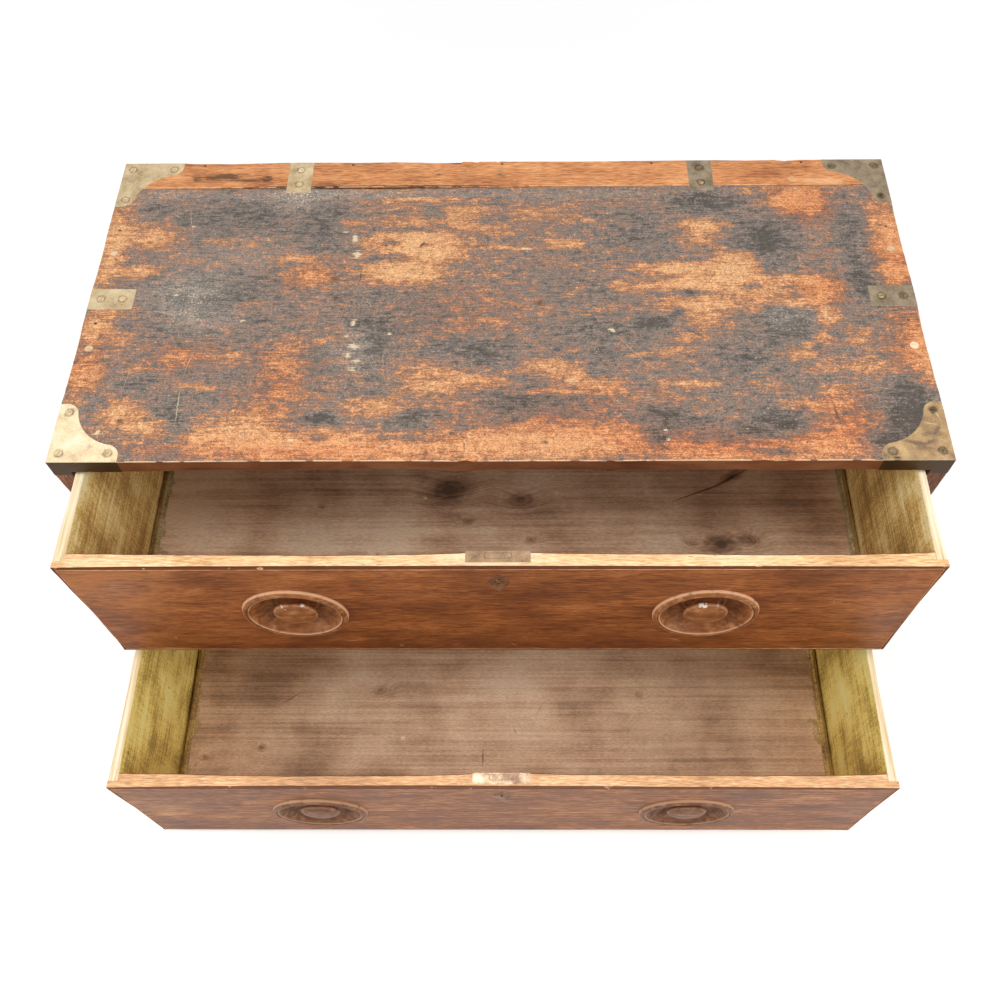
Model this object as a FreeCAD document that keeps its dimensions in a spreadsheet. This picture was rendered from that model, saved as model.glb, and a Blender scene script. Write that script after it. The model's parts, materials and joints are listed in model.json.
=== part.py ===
import FreeCAD, Part
import os
import re

import Sketcher

# Campaign chest with two long drawers, in millimetres.
# Frame: the origin is the centre of the chest's underside, the drawers face -Y and +Z is up.
# The drawers stand open by upper_open and lower_open.

doc = FreeCAD.newDocument("campaign_chest")

# ---------------------------------------------------------------- driving dimensions

SIZES = {
    # carcase
    "case_width": 914,
    "case_depth": 428,
    "side_thick": 19,
    "top_thick": 19,
    "bottom_thick": 19,
    "rear_strip_width": 42,
    "strip_gap": 0.8,
    # lapped dovetails of the carcase
    "case_lap": 5,
    "case_tails": 6,
    "case_tail_width": 54,
    "case_tail_edge": 14,
    "dovetail_slope": 6,
    # back
    "back_thick": 9,
    "back_rebate": 9,
    "shiplap_width": 9,
    # rail, runners and dust board between the drawers
    "rail_thick": 22,
    "rail_depth": 60,
    "rail_tenon": 9,
    "rail_tenon_thick": 10,
    "rail_tenon_inset": 8,
    "runner_width": 38,
    "rear_rail_depth": 40,
    "dust_panel_thick": 7,
    "dust_groove": 8,
    "stop_width": 42,
    "stop_depth": 24,
    "stop_thick": 3.5,
    "stop_spacing": 460,
    "stop_gap": 0.3,
    # drawers
    "upper_height": 214,
    "lower_height": 208,
    "upper_open": 108,
    "lower_open": 260,
    "drawer_side_gap": 1.5,
    "drawer_top_gap": 3.5,
    "runner_gap": 0.3,
    "drawer_rear_gap": 4,
    "front_thick": 17,
    "front_lap": 8,
    "drawer_side_thick": 11.5,
    "drawer_back_thick": 10,
    "drawer_back_drop": 12,
    "drawer_tails": 4,
    "drawer_tail_width": 34,
    "drawer_tail_edge": 9,
    "drawer_tail_gap": 13,
    "drawer_pins": 4,
    "drawer_pin_width": 15,
    "drawer_pin_edge": 10,
    "panel_thick": 8,
    "panel_lift": 5,
    "panel_groove": 7,
    "slip_width": 11,
    "slip_rise": 5,
    "bead_inset": 3.5,
    "bead_width": 1,
    "bead_depth": 0.8,
    # turned pulls
    "pull_spacing": 434,
    "cup_radius": 56,
    "cup_lip_radius": 48.5,
    "cup_lip_rise": 4,
    "cup_crown_radius": 52.5,
    "floor_radius": 33,
    "floor_depth": 12,
    "knob_neck_radius": 15.5,
    "knob_neck_depth": 6,
    "knob_head_radius": 23.5,
    "knob_edge_rise": 1,
    "knob_crown_radius": 18,
    "knob_crown_rise": 6.5,
    # drawer locks
    "lock_width": 64,
    "lock_plate_height": 50,
    "lock_plate_thick": 2,
    "selvedge_width": 12.5,
    "selvedge_thick": 2,
    "upper_lock_proud": 1.5,
    "lower_lock_proud": 0.5,
    "lock_wall": 1.4,
    "bolt_width": 26,
    "bolt_thick": 5.5,
    "bolt_shoulder": 4,
    "bolt_body_height": 12,
    "bolt_travel": 9,
    "bolt_gap": 0.3,
    "mortise_gap": 1,
    "box_below_key": 9,
    "keyhole_drop": 27.5,
    "keyhole_radius": 2.7,
    "keyhole_slot": 2.6,
    "keyhole_length": 9,
    "key_pin_radius": 1.2,
    "talon_width": 7,
    "talon_depth": 3.5,
    "escutcheon_width": 25,
    "escutcheon_height": 42,
    "escutcheon_drop": 33,
    "escutcheon_thick": 1.2,
    # brass let in flush
    "plate_thick": 2,
    "plate_leg": 72,
    "lobe_radius": 14,
    "hollow_radius": 50,
    "hollow_centre": 70,
    "flange_drop": 25,
    "foot_plate_edge": 14,
    "strap_length": 50,
    "strap_width": 29,
    "rear_strap_left": 242,
    "rear_strap_right": 237,
    # fasteners
    "screw_head_radius": 3.4,
    "screw_shank_radius": 1.7,
    "screw_length": 13,
    "corner_screw": 11,
    "leg_screw_cover": 7,
    "strap_screw_near": 13,
    "strap_screw_far": 37,
    "lock_screw_inset": 7,
    "lock_screw_length": 9,
    "nail_width": 3,
    "nail_length": 32,
    "nail_inset": 14,
    "strip_nails": 5,
    "strip_nail_spacing": 180,
    "back_nails": 5,
    "back_nail_inset": 5,
    "pellet_radius": 4.5,
    "pellet_depth": 5,
}

# Lengths and levels that follow from the driving dimensions.
DERIVED = {
    "half_width": "case_width / 2",
    "half_depth": "case_depth / 2",
    "inner_half": "half_width - side_thick",
    "lower_base": "bottom_thick + runner_gap",
    "rail_bottom": "lower_base + lower_height + drawer_top_gap",
    "rail_top": "rail_bottom + rail_thick",
    "upper_base": "rail_top + runner_gap",
    "top_bottom": "upper_base + upper_height + drawer_top_gap",
    "case_height": "top_bottom + top_thick",
    "tail_span": "case_depth - case_tail_width - 2 * case_tail_edge",
    "first_tail": "case_tail_edge + case_tail_width / 2 - half_depth",
    "tail_pitch": "tail_span / (case_tails - 1)",
    "leg_screw": "case_tail_edge + case_tail_width - leg_screw_cover",
    "back_face": "half_depth - back_thick",
    "back_middle": "(bottom_thick + top_bottom) / 2",
    "strip_front": "half_depth - rear_strip_width",
    "rail_back": "rail_depth - half_depth",
    "groove_bottom": "rail_bottom + (rail_thick - dust_panel_thick) / 2",
    "groove_top": "groove_bottom + dust_panel_thick",
    "tenon_bottom": "rail_bottom + (rail_thick - rail_tenon_thick) / 2",
    "tenon_top": "tenon_bottom + rail_tenon_thick",
    "drawer_half": "inner_half - drawer_side_gap",
    "drawer_inner": "drawer_half - drawer_side_thick",
    "drawer_depth": "case_depth - back_thick - drawer_rear_gap",
    "drawer_tail_length": "front_thick - front_lap",
    "panel_top": "panel_lift + panel_thick",
    "slip_inner": "drawer_inner - slip_width",
    "stop_front": "front_thick + stop_gap - half_depth",
    "bolt_half": "bolt_width / 2",
    "box_half": "bolt_half + bolt_shoulder + bolt_gap + lock_wall",
    "box_drop": "keyhole_drop + box_below_key",
}


def expression(text):
    """Write out derived names and point the driving ones at the sheet."""
    while any(re.search(rf"\b{name}\b", text) for name in DERIVED):
        for name, formula in DERIVED.items():
            text = re.sub(rf"\b{name}\b", f"({formula})", text)
    return re.sub(r"\b([a-z]+(_[a-z]+)+)\b", r"Sizes.\1", text)


def make_sheet():
    sheet = doc.addObject("Spreadsheet::Sheet", "Sizes")
    for row, (name, size) in enumerate(SIZES.items(), start=1):
        sheet.set(f"A{row}", name)
        sheet.set(f"B{row}", str(size))
        sheet.setAlias(f"B{row}", name)
    doc.recompute()
    return sheet


sheet = make_sheet()


def number(text):
    """The present value of a size or a formula of sizes."""
    return float(sheet.evalExpression(expression(str(text))))


def bind(thing, path, text):
    thing.setExpression(path, expression(text))


def place(thing, x="0", y="0", z="0"):
    for axis, text in zip("xyz", (x, y, z)):
        bind(thing, f"Placement.Base.{axis}", text)


# ---------------------------------------------------------------- sketches and features

# How a pad grows from its sketch: along this row axis, with this sign.
PLANES = {"XY_Plane": 1, "YZ_Plane": 1, "XZ_Plane": -1}


def new_body(label):
    body = doc.addObject("PartDesign::Body", label)
    body.Label = label
    body.AllowCompound = True
    return body


def sketch_on(body, plane, level="0"):
    """A sketch parallel to an origin plane of its body, at a level along that plane's row axis."""
    sketch = body.newObject("Sketcher::SketchObject", f"{body.Name}_sketch")
    support = [item for item in body.Origin.OriginFeatures if item.Role == plane]
    sketch.AttachmentSupport = [(support[0], "")]
    sketch.MapMode = "FlatFace"
    sign = "" if PLANES[plane] > 0 else "-"
    bind(sketch, "AttachmentOffset.Base.z", f"{sign}({level})")
    return sketch


def pin_point(sketch, geometry, end, x, y):
    """Hold one end of an edge, or a centre, at x and y from the sketch's origin."""
    for kind, axis, text in (("DistanceX", -2, x), ("DistanceY", -1, y)):
        if text == "0":
            sketch.addConstraint(Sketcher.Constraint("PointOnObject", geometry, end, axis))
        else:
            held = Sketcher.Constraint(kind, -1, 1, geometry, end, number(text))
            bind(sketch, f"Constraints[{sketch.addConstraint(held)}]", text)


def draw_outline(sketch, corners):
    """A closed outline of straight edges through the given corners."""
    points = [FreeCAD.Vector(number(x), number(y), 0) for x, y in corners]
    first = sketch.GeometryCount
    for start, end in zip(points, points[1:] + points[:1]):
        sketch.addGeometry(Part.LineSegment(start, end), False)
    for index, (x, y) in enumerate(corners):
        following = first + (index + 1) % len(corners)
        sketch.addConstraint(Sketcher.Constraint("Coincident", first + index, 2, following, 1))
        pin_point(sketch, first + index, 1, x, y)


def draw_rectangle(sketch, left, right, low, high):
    draw_outline(sketch, [(left, low), (right, low), (right, high), (left, high)])


def draw_circle(sketch, x, y, radius):
    centre = FreeCAD.Vector(number(x), number(y), 0)
    circle = Part.Circle(centre, FreeCAD.Vector(0, 0, 1), number(radius))
    geometry = sketch.addGeometry(circle, False)
    pin_point(sketch, geometry, 3, x, y)
    held = Sketcher.Constraint("Radius", geometry, number(radius))
    bind(sketch, f"Constraints[{sketch.addConstraint(held)}]", radius)


def draw_facets(sketch, x, y, radius):
    """A six-sided outline, for the small round pieces that repeat."""
    draw_outline(sketch, [
        (f"{x} + {radius} * cos({angle})", f"{y} + {radius} * sin({angle})")
        for angle in range(30, 390, 60)
    ])


def pad(body, plane, low, high, draw):
    """Pad what draw() puts in a sketch between two levels along the plane's row axis."""
    sketch = sketch_on(body, plane, low if PLANES[plane] > 0 else high)
    draw(sketch)
    feature = body.newObject("PartDesign::Pad", f"{body.Name}_pad")
    feature.Profile = sketch
    bind(feature, "Length", f"({high}) - ({low})")
    return feature


def pocket(body, plane, low, high, draw):
    """Cut what draw() puts in a sketch away between two levels along the plane's row axis."""
    sketch = sketch_on(body, plane, high if PLANES[plane] > 0 else low)
    draw(sketch)
    feature = body.newObject("PartDesign::Pocket", f"{body.Name}_pocket")
    feature.Profile = sketch
    bind(feature, "Length", f"({high}) - ({low})")
    return feature


def repeat(body, feature, axis, length, count):
    """Repeat a feature along an axis of its own sketch, over a length."""
    pattern = body.newObject("PartDesign::LinearPattern", f"{body.Name}_pattern")
    pattern.Originals = [feature]
    pattern.Direction = (feature.Profile[0], [axis])
    bind(pattern, "Length", length)
    bind(pattern, "Occurrences", count)
    body.Tip = pattern
    return pattern


def board(label, x, y, z):
    """A plain squared board between pairs of x, y and z."""
    body = new_body(label)
    pad(body, "XY_Plane", z[0], z[1], lambda sketch: draw_rectangle(sketch, *x, *y))
    return body


def group(label, pieces):
    compound = doc.addObject("Part::Compound", label)
    compound.Label = label
    compound.Links = pieces
    return compound


def cut_for(label, blank, mates):
    """Cut a blank to receive its mates; the last cut carries the piece's label."""
    piece = blank
    for index, mate in enumerate(mates):
        cut = doc.addObject("Part::Cut", f"{label}_cut_{index}")
        cut.Base = piece
        cut.Tool = mate
        piece = cut
    piece.Label = label
    return piece


def mirrored(label, source, normal, height="0"):
    """A mirror image across a plane through the case's middle, at a height."""
    mirror = doc.addObject("Part::Mirroring", label)
    mirror.Label = label
    mirror.Source = source
    mirror.Normal = normal
    bind(mirror, "Base.z", height)
    return mirror


ACROSS = FreeCAD.Vector(1, 0, 0)
BACKWARDS = FreeCAD.Vector(0, 1, 0)
UPRIGHT = FreeCAD.Vector(0, 0, 1)

nodes = []


def keep(piece):
    nodes.append(piece)
    return piece


# ---------------------------------------------------------------- fasteners

def screw(label, length, plate):
    """A screw whose head fills a plate's thickness from z = 0 down, with the shank below it."""
    body = new_body(label)
    pad(body, "XY_Plane", f"-{plate}", "0", lambda sketch: draw_facets(
        sketch, "0", "0", "screw_head_radius"))
    pad(body, "XY_Plane", f"-{length}", f"-{plate}", lambda sketch: draw_facets(
        sketch, "0", "0", "screw_shank_radius"))
    return body


def nail(label):
    """A square cut nail, flush at z = 0."""
    half = "nail_width / 2"
    return board(label, (f"-{half}", half), (f"-{half}", half), ("-nail_length", "0"))


def driven(master, x, y, z, turned=FreeCAD.Rotation()):
    """A link to a fastener, driven in at a place."""
    link = doc.addObject("App::Link", f"{master.Label}_link")
    link.LinkedObject = master
    link.Placement = FreeCAD.Placement(FreeCAD.Vector(), turned)
    place(link, x, y, z)
    return link


brass_screw = screw("brass_screw", "screw_length", "plate_thick")
cut_nail = nail("cut_nail")
INTO_BACK = FreeCAD.Rotation(ACROSS, -90)


def make_brass_screws():
    """Three screws in each top corner plate and two in each strap."""
    corner = group("corner_screws", [
        driven(brass_screw, f"{x} - half_width", f"{y} - half_depth", "case_height")
        for x, y in (
            ("corner_screw", "corner_screw"),
            ("leg_screw", "corner_screw"),
            ("corner_screw", "leg_screw"),
        )
    ])
    right = mirrored("corner_screws_right", corner, ACROSS)
    front = group("corner_screws_front", [corner, right])
    rear = mirrored("corner_screws_rear", front, BACKWARDS)
    straps = []
    for inset in ("strap_screw_near", "strap_screw_far"):
        for sign in ("", "-"):
            straps.append(driven(brass_screw, f"{sign}(half_width - {inset})", "0", "case_height"))
        for x in ("-rear_strap_left", "rear_strap_right"):
            straps.append(driven(brass_screw, x, f"half_depth - {inset}", "case_height"))
    return keep(group("brass_screws", [front, rear] + straps))


# Which of the case's tails, and which gaps after a tail, are fastened through the top.
NAILED_TAILS = (2, 4)
PELLET_GAPS = (1.5, 3.5)


def make_top_nails():
    """Nails through the top into tails of the sides, and along the rear strip."""
    nails = []
    for sign in ("", "-"):
        for count in NAILED_TAILS:
            nails.append(driven(
                cut_nail, f"{sign}(half_width - nail_inset)", f"first_tail + {count} * tail_pitch",
                "case_height"))
    for index in range(SIZES["strip_nails"]):
        x = f"({index} - (strip_nails - 1) / 2) * strip_nail_spacing"
        nails.append(driven(cut_nail, x, "half_depth - back_thick / 2", "case_height"))
    return keep(group("top_nails", nails))


def make_top_pellets():
    """Wooden pellets over the sunk fastenings of the top, between tails of the sides."""
    body = new_body("top_plugs")

    def pellets(sketch):
        for sign in ("", "-"):
            for count in PELLET_GAPS:
                draw_facets(sketch, f"{sign}(half_width - nail_inset)",
                            f"first_tail + {count} * tail_pitch", "pellet_radius")

    pad(body, "XY_Plane", "case_height - pellet_depth", "case_height", pellets)
    return keep(body)


def make_back_nails():
    """Nails up both sides of the back, through its boards into the rebates."""
    nails = []
    for index in range(SIZES["back_nails"]):
        share = f"({index} + 0.5) / back_nails"
        z = f"bottom_thick + (top_bottom - bottom_thick) * {share}"
        for sign in ("", "-"):
            x = f"{sign}(inner_half + back_nail_inset)"
            nails.append(driven(cut_nail, x, "half_depth", z, INTO_BACK))
    return keep(group("back_nails", nails))


brass_screws = make_brass_screws()
top_nails = make_top_nails()
top_plugs = make_top_pellets()
back_nails = make_back_nails()


# ---------------------------------------------------------------- brass corners and straps

def draw_ogee(sketch):
    """A corner plate's outline: two straight edges, two rounded lobes and a hollow between them."""
    leg = number("plate_leg")
    lobe = number("lobe_radius")
    hollow = number("hollow_radius")
    centre = number("hollow_centre")
    along = leg - lobe
    across = centre - ((hollow + lobe) ** 2 - (centre - along) ** 2) ** 0.5
    blend = hollow / (hollow + lobe)
    meet_x = centre + (along - centre) * blend
    meet_y = centre + (across - centre) * blend
    middle = centre - hollow * 0.5 ** 0.5
    lobe_tip = lobe * 0.5 ** 0.5

    def point(x, y):
        return FreeCAD.Vector(x, y, 0)

    near, end, meet = point(leg, 0), point(leg, across), point(meet_x, meet_y)
    far_meet, far_end, far = point(meet_y, meet_x), point(across, leg), point(0, leg)
    edges = [
        Part.LineSegment(point(0, 0), near),
        Part.LineSegment(near, end),
        Part.Arc(end, point(along + lobe_tip, across + lobe_tip), meet),
        Part.Arc(meet, point(middle, middle), far_meet),
        Part.Arc(far_meet, point(across + lobe_tip, along + lobe_tip), far_end),
        Part.LineSegment(far_end, far),
        Part.LineSegment(far, point(0, 0)),
    ]
    base, near_side, near_lobe, scoop, far_lobe, far_side, edge = [
        sketch.addGeometry(item, False) for item in edges
    ]
    for first, second in ((base, near_side), (far_side, edge), (edge, base)):
        sketch.addConstraint(Sketcher.Constraint("Coincident", first, 2, second, 1))
    # An arc keeps its own direction, so the joined ends differ from arc to arc.
    for first, end_a, second, end_b in (
        (near_side, 2, near_lobe, 1),
        (near_lobe, 2, scoop, 2),
        (scoop, 1, far_lobe, 1),
        (far_lobe, 2, far_side, 1),
    ):
        sketch.addConstraint(Sketcher.Constraint("Tangent", first, end_a, second, end_b))
    sketch.addConstraint(Sketcher.Constraint("Vertical", near_side))
    sketch.addConstraint(Sketcher.Constraint("Horizontal", far_side))
    pin_point(sketch, base, 1, "0", "0")
    pin_point(sketch, near_side, 1, "plate_leg", "0")
    pin_point(sketch, edge, 1, "0", "plate_leg")
    pin_point(sketch, scoop, 3, "hollow_centre", "hollow_centre")
    for arc, radius in ((near_lobe, "lobe_radius"), (scoop, "hollow_radius"), (far_lobe, "lobe_radius")):
        held = Sketcher.Constraint("Radius", arc, number(radius))
        bind(sketch, f"Constraints[{sketch.addConstraint(held)}]", radius)


def draw_gusset(sketch):
    """The flat plate of a lower corner: a triangle with its two far points cut square."""
    draw_outline(sketch, [
        ("0", "0"),
        ("plate_leg", "0"),
        ("plate_leg", "foot_plate_edge"),
        ("foot_plate_edge", "plate_leg"),
        ("0", "plate_leg"),
    ])


def draw_flange(sketch):
    """A bracket's edge plate: as wide as the flat plate, with a tongue down the case's corner."""
    draw_outline(sketch, [
        ("0", "0"),
        ("plate_leg", "0"),
        ("plate_leg", "top_thick"),
        ("side_thick", "top_thick"),
        ("side_thick", "flange_drop"),
        ("0", "flange_drop"),
    ])


def corner_blank(label, draw_plate):
    """A bracket for the front left foot: a flat plate below and edge plates in front and at the side."""
    body = new_body(label)
    pad(body, "XY_Plane", "0", "plate_thick", draw_plate)
    pad(body, "XZ_Plane", "0", "plate_thick", draw_flange)
    pad(body, "YZ_Plane", "0", "plate_thick", draw_flange)
    place(body, "-half_width", "-half_depth")
    return body


def four_corners(level, front_left):
    """A bracket and its mirror images at the other three corners."""
    corners = {f"{level}_corner_front_left": front_left}
    for source, normal, target in (
        ("front_left", ACROSS, "front_right"),
        ("front_left", BACKWARDS, "rear_left"),
        ("front_right", BACKWARDS, "rear_right"),
    ):
        label = f"{level}_corner_{target}"
        corners[label] = mirrored(label, corners[f"{level}_corner_{source}"], normal)
    return corners


def make_corners():
    """Four ogee brackets at the top, drilled for their screws, and four plain ones at the foot."""
    low = four_corners("bottom", corner_blank("bottom_corner_front_left", draw_gusset))
    for corner in low.values():
        keep(corner)
    upside_down = corner_blank("ogee_corner", draw_ogee)
    high = four_corners("top", mirrored("ogee_corner_raised", upside_down, UPRIGHT, "case_height / 2"))
    for label, blank in high.items():
        blank.Label = f"{label}_blank"
        keep(cut_for(label, blank, [brass_screws]))
    return [*low.values(), *high.values()]


def strap_blank(label, along, x="0", y="0"):
    """A strap bent over an edge: half lies on the top and half runs down, flush with both."""
    body = new_body(f"{label}_blank")
    half = "strap_width / 2"
    lying = {
        "left": ("0", "strap_length", f"-{half}", half),
        "right": ("-strap_length", "0", f"-{half}", half),
        "rear": (f"-{half}", half, "-strap_length", "0"),
    }[along]
    pad(body, "XY_Plane", "-plate_thick", "0", lambda sketch: draw_rectangle(sketch, *lying))
    if along == "rear":
        plane, low, high = "XZ_Plane", "-plate_thick", "0"
    elif along == "left":
        plane, low, high = "YZ_Plane", "0", "plate_thick"
    else:
        plane, low, high = "YZ_Plane", "-plate_thick", "0"
    pad(body, plane, low, high, lambda sketch: draw_rectangle(
        sketch, f"-{half}", half, "-strap_length", "0"))
    place(body, x, y, "case_height")
    keep(cut_for(label, body, [brass_screws]))
    return body


corner_brackets = make_corners()
strap_blanks = [
    strap_blank("side_strap_left", "left", x="-half_width"),
    strap_blank("side_strap_right", "right", x="half_width"),
    strap_blank("rear_strap_left", "rear", x="-rear_strap_left", y="half_depth"),
    strap_blank("rear_strap_right", "rear", x="rear_strap_right", y="half_depth"),
]
brasses = group("brasses", corner_brackets + strap_blanks)


# ---------------------------------------------------------------- carcase

def draw_tail(sketch, middle, shoulder, end, width, upwards):
    """A dovetail on a side's face, pointing along the sketch's height or along its width."""
    half = f"{width} / 2"
    narrow = f"{half} - abs({end} - ({shoulder})) / dovetail_slope"
    across = [(f"{middle} - ({narrow})", shoulder), (f"{middle} + {narrow}", shoulder),
              (f"{middle} + {half}", end), (f"{middle} - {half}", end)]
    draw_outline(sketch, across if upwards else [(y, x) for x, y in across])


def side_blank(label, low_x, high_x):
    """A side board with dovetails at its head and foot."""
    body = new_body(f"{label}_blank")
    pad(body, "YZ_Plane", low_x, high_x, lambda sketch: draw_rectangle(
        sketch, "-half_depth", "half_depth", "bottom_thick", "top_bottom"))
    ends = (("top_bottom", "case_height - case_lap"), ("bottom_thick", "case_lap"))
    for shoulder, end in ends:
        tail = pad(body, "YZ_Plane", low_x, high_x, lambda sketch: draw_tail(
            sketch, "first_tail", shoulder, end, "case_tail_width", True))
        repeat(body, tail, "H_Axis", "tail_span", "case_tails")
    return body


def divider():
    """The rail between the drawers, with a stub tenon at each end."""
    body = board("drawer_divider_blank", ("-inner_half", "inner_half"),
                 ("-half_depth", "rail_back"), ("rail_bottom", "rail_top"))
    reach = "inner_half + rail_tenon"
    pad(body, "XY_Plane", "tenon_bottom", "tenon_top", lambda sketch: draw_rectangle(
        sketch, f"-({reach})", reach, "rail_tenon_inset - half_depth", "rail_back - rail_tenon_inset"))
    return body


def back_board(label, low, high, lap_low, lap_high, lap_y):
    """A back board, with a half-thickness lip that laps the other board."""
    body = board(f"{label}_blank", ("-(inner_half + back_rebate)", "inner_half + back_rebate"),
                 ("back_face", "half_depth"), (low, high))
    pad(body, "XY_Plane", lap_low, lap_high, lambda sketch: draw_rectangle(
        sketch, "-(inner_half + back_rebate)", "inner_half + back_rebate", *lap_y))
    return body


def make_carcase():
    left = side_blank("side_panel_left", "-half_width", "-inner_half")
    right = side_blank("side_panel_right", "inner_half", "half_width")
    rail = divider()
    bolt_slot(rail, "lower", "rail_bottom")
    middle_y = "back_face + back_thick / 2"
    half_lap = "shiplap_width / 2"
    upper_back = back_board(
        "back_board_upper", f"back_middle + {half_lap}", "top_bottom + back_rebate",
        f"back_middle - {half_lap}", f"back_middle + {half_lap}", (middle_y, "half_depth"))
    lower_back = back_board(
        "back_board_lower", "bottom_thick - back_rebate", f"back_middle - {half_lap}",
        f"back_middle - {half_lap}", f"back_middle + {half_lap}", ("back_face", middle_y))

    panel = keep(board(
        "dust_panel",
        ("runner_width - dust_groove - inner_half", "inner_half - runner_width + dust_groove"),
        ("rail_back - dust_groove", "back_face - rear_rail_depth + dust_groove"),
        ("groove_bottom", "groove_top")))
    rear_rail = board("rear_rail_blank", ("-inner_half", "inner_half"),
                      ("back_face - rear_rail_depth", "back_face"), ("rail_bottom", "rail_top"))
    keep(cut_for("rear_rail", rear_rail, [panel]))
    keep(cut_for("drawer_divider", rail, [panel]))
    runner_y = ("rail_back", "back_face - rear_rail_depth")
    for side, x in (("left", ("-inner_half", "runner_width - inner_half")),
                    ("right", ("inner_half - runner_width", "inner_half"))):
        runner = board(f"runner_{side}_blank", x, runner_y, ("rail_bottom", "rail_top"))
        keep(cut_for(f"runner_{side}", runner, [panel]))

    keep(cut_for("back_board_upper", upper_back, [brasses, top_nails, back_nails]))
    keep(cut_for("back_board_lower", lower_back, [brasses, back_nails]))
    for label, blank in (("side_panel_left", left), ("side_panel_right", right)):
        keep(cut_for(label, blank, [
            upper_back, lower_back, rail, brasses, brass_screws, top_nails, top_plugs, back_nails]))

    full_x = ("-half_width", "half_width")
    top = board("top_board_blank", full_x, ("-half_depth", "strip_front - strip_gap"),
                ("top_bottom", "case_height"))
    bolt_slot(top, "upper", "top_bottom")
    strip = board("top_rear_strip_blank", full_x, ("strip_front", "half_depth"),
                  ("top_bottom", "case_height"))
    floor = board("bottom_board_blank", full_x, ("-half_depth", "half_depth"),
                  ("0", "bottom_thick"))
    keep(cut_for("top_board", top, [
        left, right, brasses, brass_screws, top_nails, top_plugs]))
    keep(cut_for("top_rear_strip", strip, [
        left, right, upper_back, brasses, brass_screws, top_nails]))
    keep(cut_for("bottom_board", floor, [left, right, lower_back, brasses]))


def bolt_slot(body, drawer, underside):
    """The mortise above a drawer's lock, where its bolt goes in when the drawer is shut."""
    half = "bolt_half + mortise_gap"
    middle = f"front_thick + {drawer}_lock_proud - lock_plate_thick - bolt_gap - bolt_thick / 2 - half_depth"
    reach = "bolt_thick / 2 + mortise_gap"
    depth = "bolt_travel - drawer_top_gap + mortise_gap"
    return pocket(body, "XY_Plane", underside, f"{underside} + {depth}", lambda sketch: draw_rectangle(
        sketch, f"-({half})", half, f"{middle} - ({reach})", f"{middle} + {reach}"))


def make_stops():
    """Blocks on the floor and on the rail that the drawer fronts shut against."""
    body = new_body("drawer_stops")
    for level in ("bottom_thick", "rail_top"):
        for middle in ("-stop_spacing / 2", "stop_spacing / 2"):
            pad(body, "XY_Plane", level, f"{level} + stop_thick", lambda sketch: draw_rectangle(
                sketch, f"{middle} - stop_width / 2", f"{middle} + stop_width / 2",
                "stop_front", "stop_front + stop_depth"))
    return keep(body)


make_carcase()
make_stops()


# ---------------------------------------------------------------- drawers

def drawer_side_blank(label, height, low_x, high_x):
    """A drawer side with a half tail at the top of its front end and full tails below."""
    body = new_body(f"{label}_blank")
    pad(body, "YZ_Plane", low_x, high_x, lambda sketch: draw_rectangle(
        sketch, "front_thick", "drawer_depth", "0", height))
    half = "drawer_tail_width / 2"
    narrow = f"{half} - drawer_tail_length / dovetail_slope"
    pad(body, "YZ_Plane", low_x, high_x, lambda sketch: draw_outline(sketch, [
        ("front_thick", f"{height} - ({narrow})"),
        ("front_thick", height),
        ("front_lap", height),
        ("front_lap", f"{height} - {half}"),
    ]))
    lowest = "drawer_tail_edge + drawer_tail_width / 2"
    highest = f"{height} - drawer_tail_width - drawer_tail_gap"
    tail = pad(body, "YZ_Plane", low_x, high_x, lambda sketch: draw_tail(
        sketch, lowest, "front_thick", "front_lap", "drawer_tail_width", False))
    repeat(body, tail, "V_Axis", f"{highest} - ({lowest})", "drawer_tails")
    return body


def drawer_back(label, height):
    """A drawer back with pins through both sides; it stands on the bottom panel."""
    body = new_body(label)
    top = f"{height} - drawer_back_drop"
    front_y = "drawer_depth - drawer_back_thick"
    pad(body, "XZ_Plane", front_y, "drawer_depth", lambda sketch: draw_rectangle(
        sketch, "-drawer_inner", "drawer_inner", "panel_top", top))
    wide = "drawer_pin_width / 2"
    narrow = f"{wide} - drawer_back_thick / dovetail_slope"
    lowest = "panel_top + drawer_pin_edge + drawer_pin_width / 2"
    span = f"{top} - panel_top - 2 * drawer_pin_edge - drawer_pin_width"
    pin = pad(body, "YZ_Plane", "-drawer_half", "drawer_half", lambda sketch: draw_outline(sketch, [
        (front_y, f"{lowest} - {wide}"),
        ("drawer_depth", f"{lowest} - ({narrow})"),
        ("drawer_depth", f"{lowest} + {narrow}"),
        (front_y, f"{lowest} + {wide}"),
    ]))
    repeat(body, pin, "V_Axis", span, "drawer_pins")
    return body


def slip_blank(label, sign):
    """A slip glued inside a drawer side, with its edge over the panel bevelled."""
    body = new_body(f"{label}_blank")
    pad(body, "XZ_Plane", "front_thick", "drawer_depth", lambda sketch: draw_outline(sketch, [
        (f"{sign}drawer_inner", "0"),
        (f"{sign}(slip_inner)", "0"),
        (f"{sign}(slip_inner)", "panel_top"),
        (f"{sign}(slip_inner + slip_rise)", "panel_top + slip_rise"),
        (f"{sign}drawer_inner", "panel_top + slip_rise"),
    ]))
    return body


def front_blank(label, height):
    """A drawer front with its scratch bead and two round holes for the pulls."""
    body = new_body(f"{label}_blank")
    pad(body, "XZ_Plane", "0", "front_thick", lambda sketch: draw_rectangle(
        sketch, "-drawer_half", "drawer_half", "0", height))

    def bead(sketch):
        for inset in ("bead_inset", "(bead_inset + bead_width)"):
            draw_rectangle(sketch, f"{inset} - drawer_half", f"drawer_half - {inset}",
                           inset, f"{height} - {inset}")

    def holes(sketch):
        for x in ("-pull_spacing / 2", "pull_spacing / 2"):
            draw_circle(sketch, x, f"{height} / 2", "cup_radius")

    pocket(body, "XZ_Plane", "0", "bead_depth", bead)
    pocket(body, "XZ_Plane", "0", "front_thick", holes)
    return body


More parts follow.
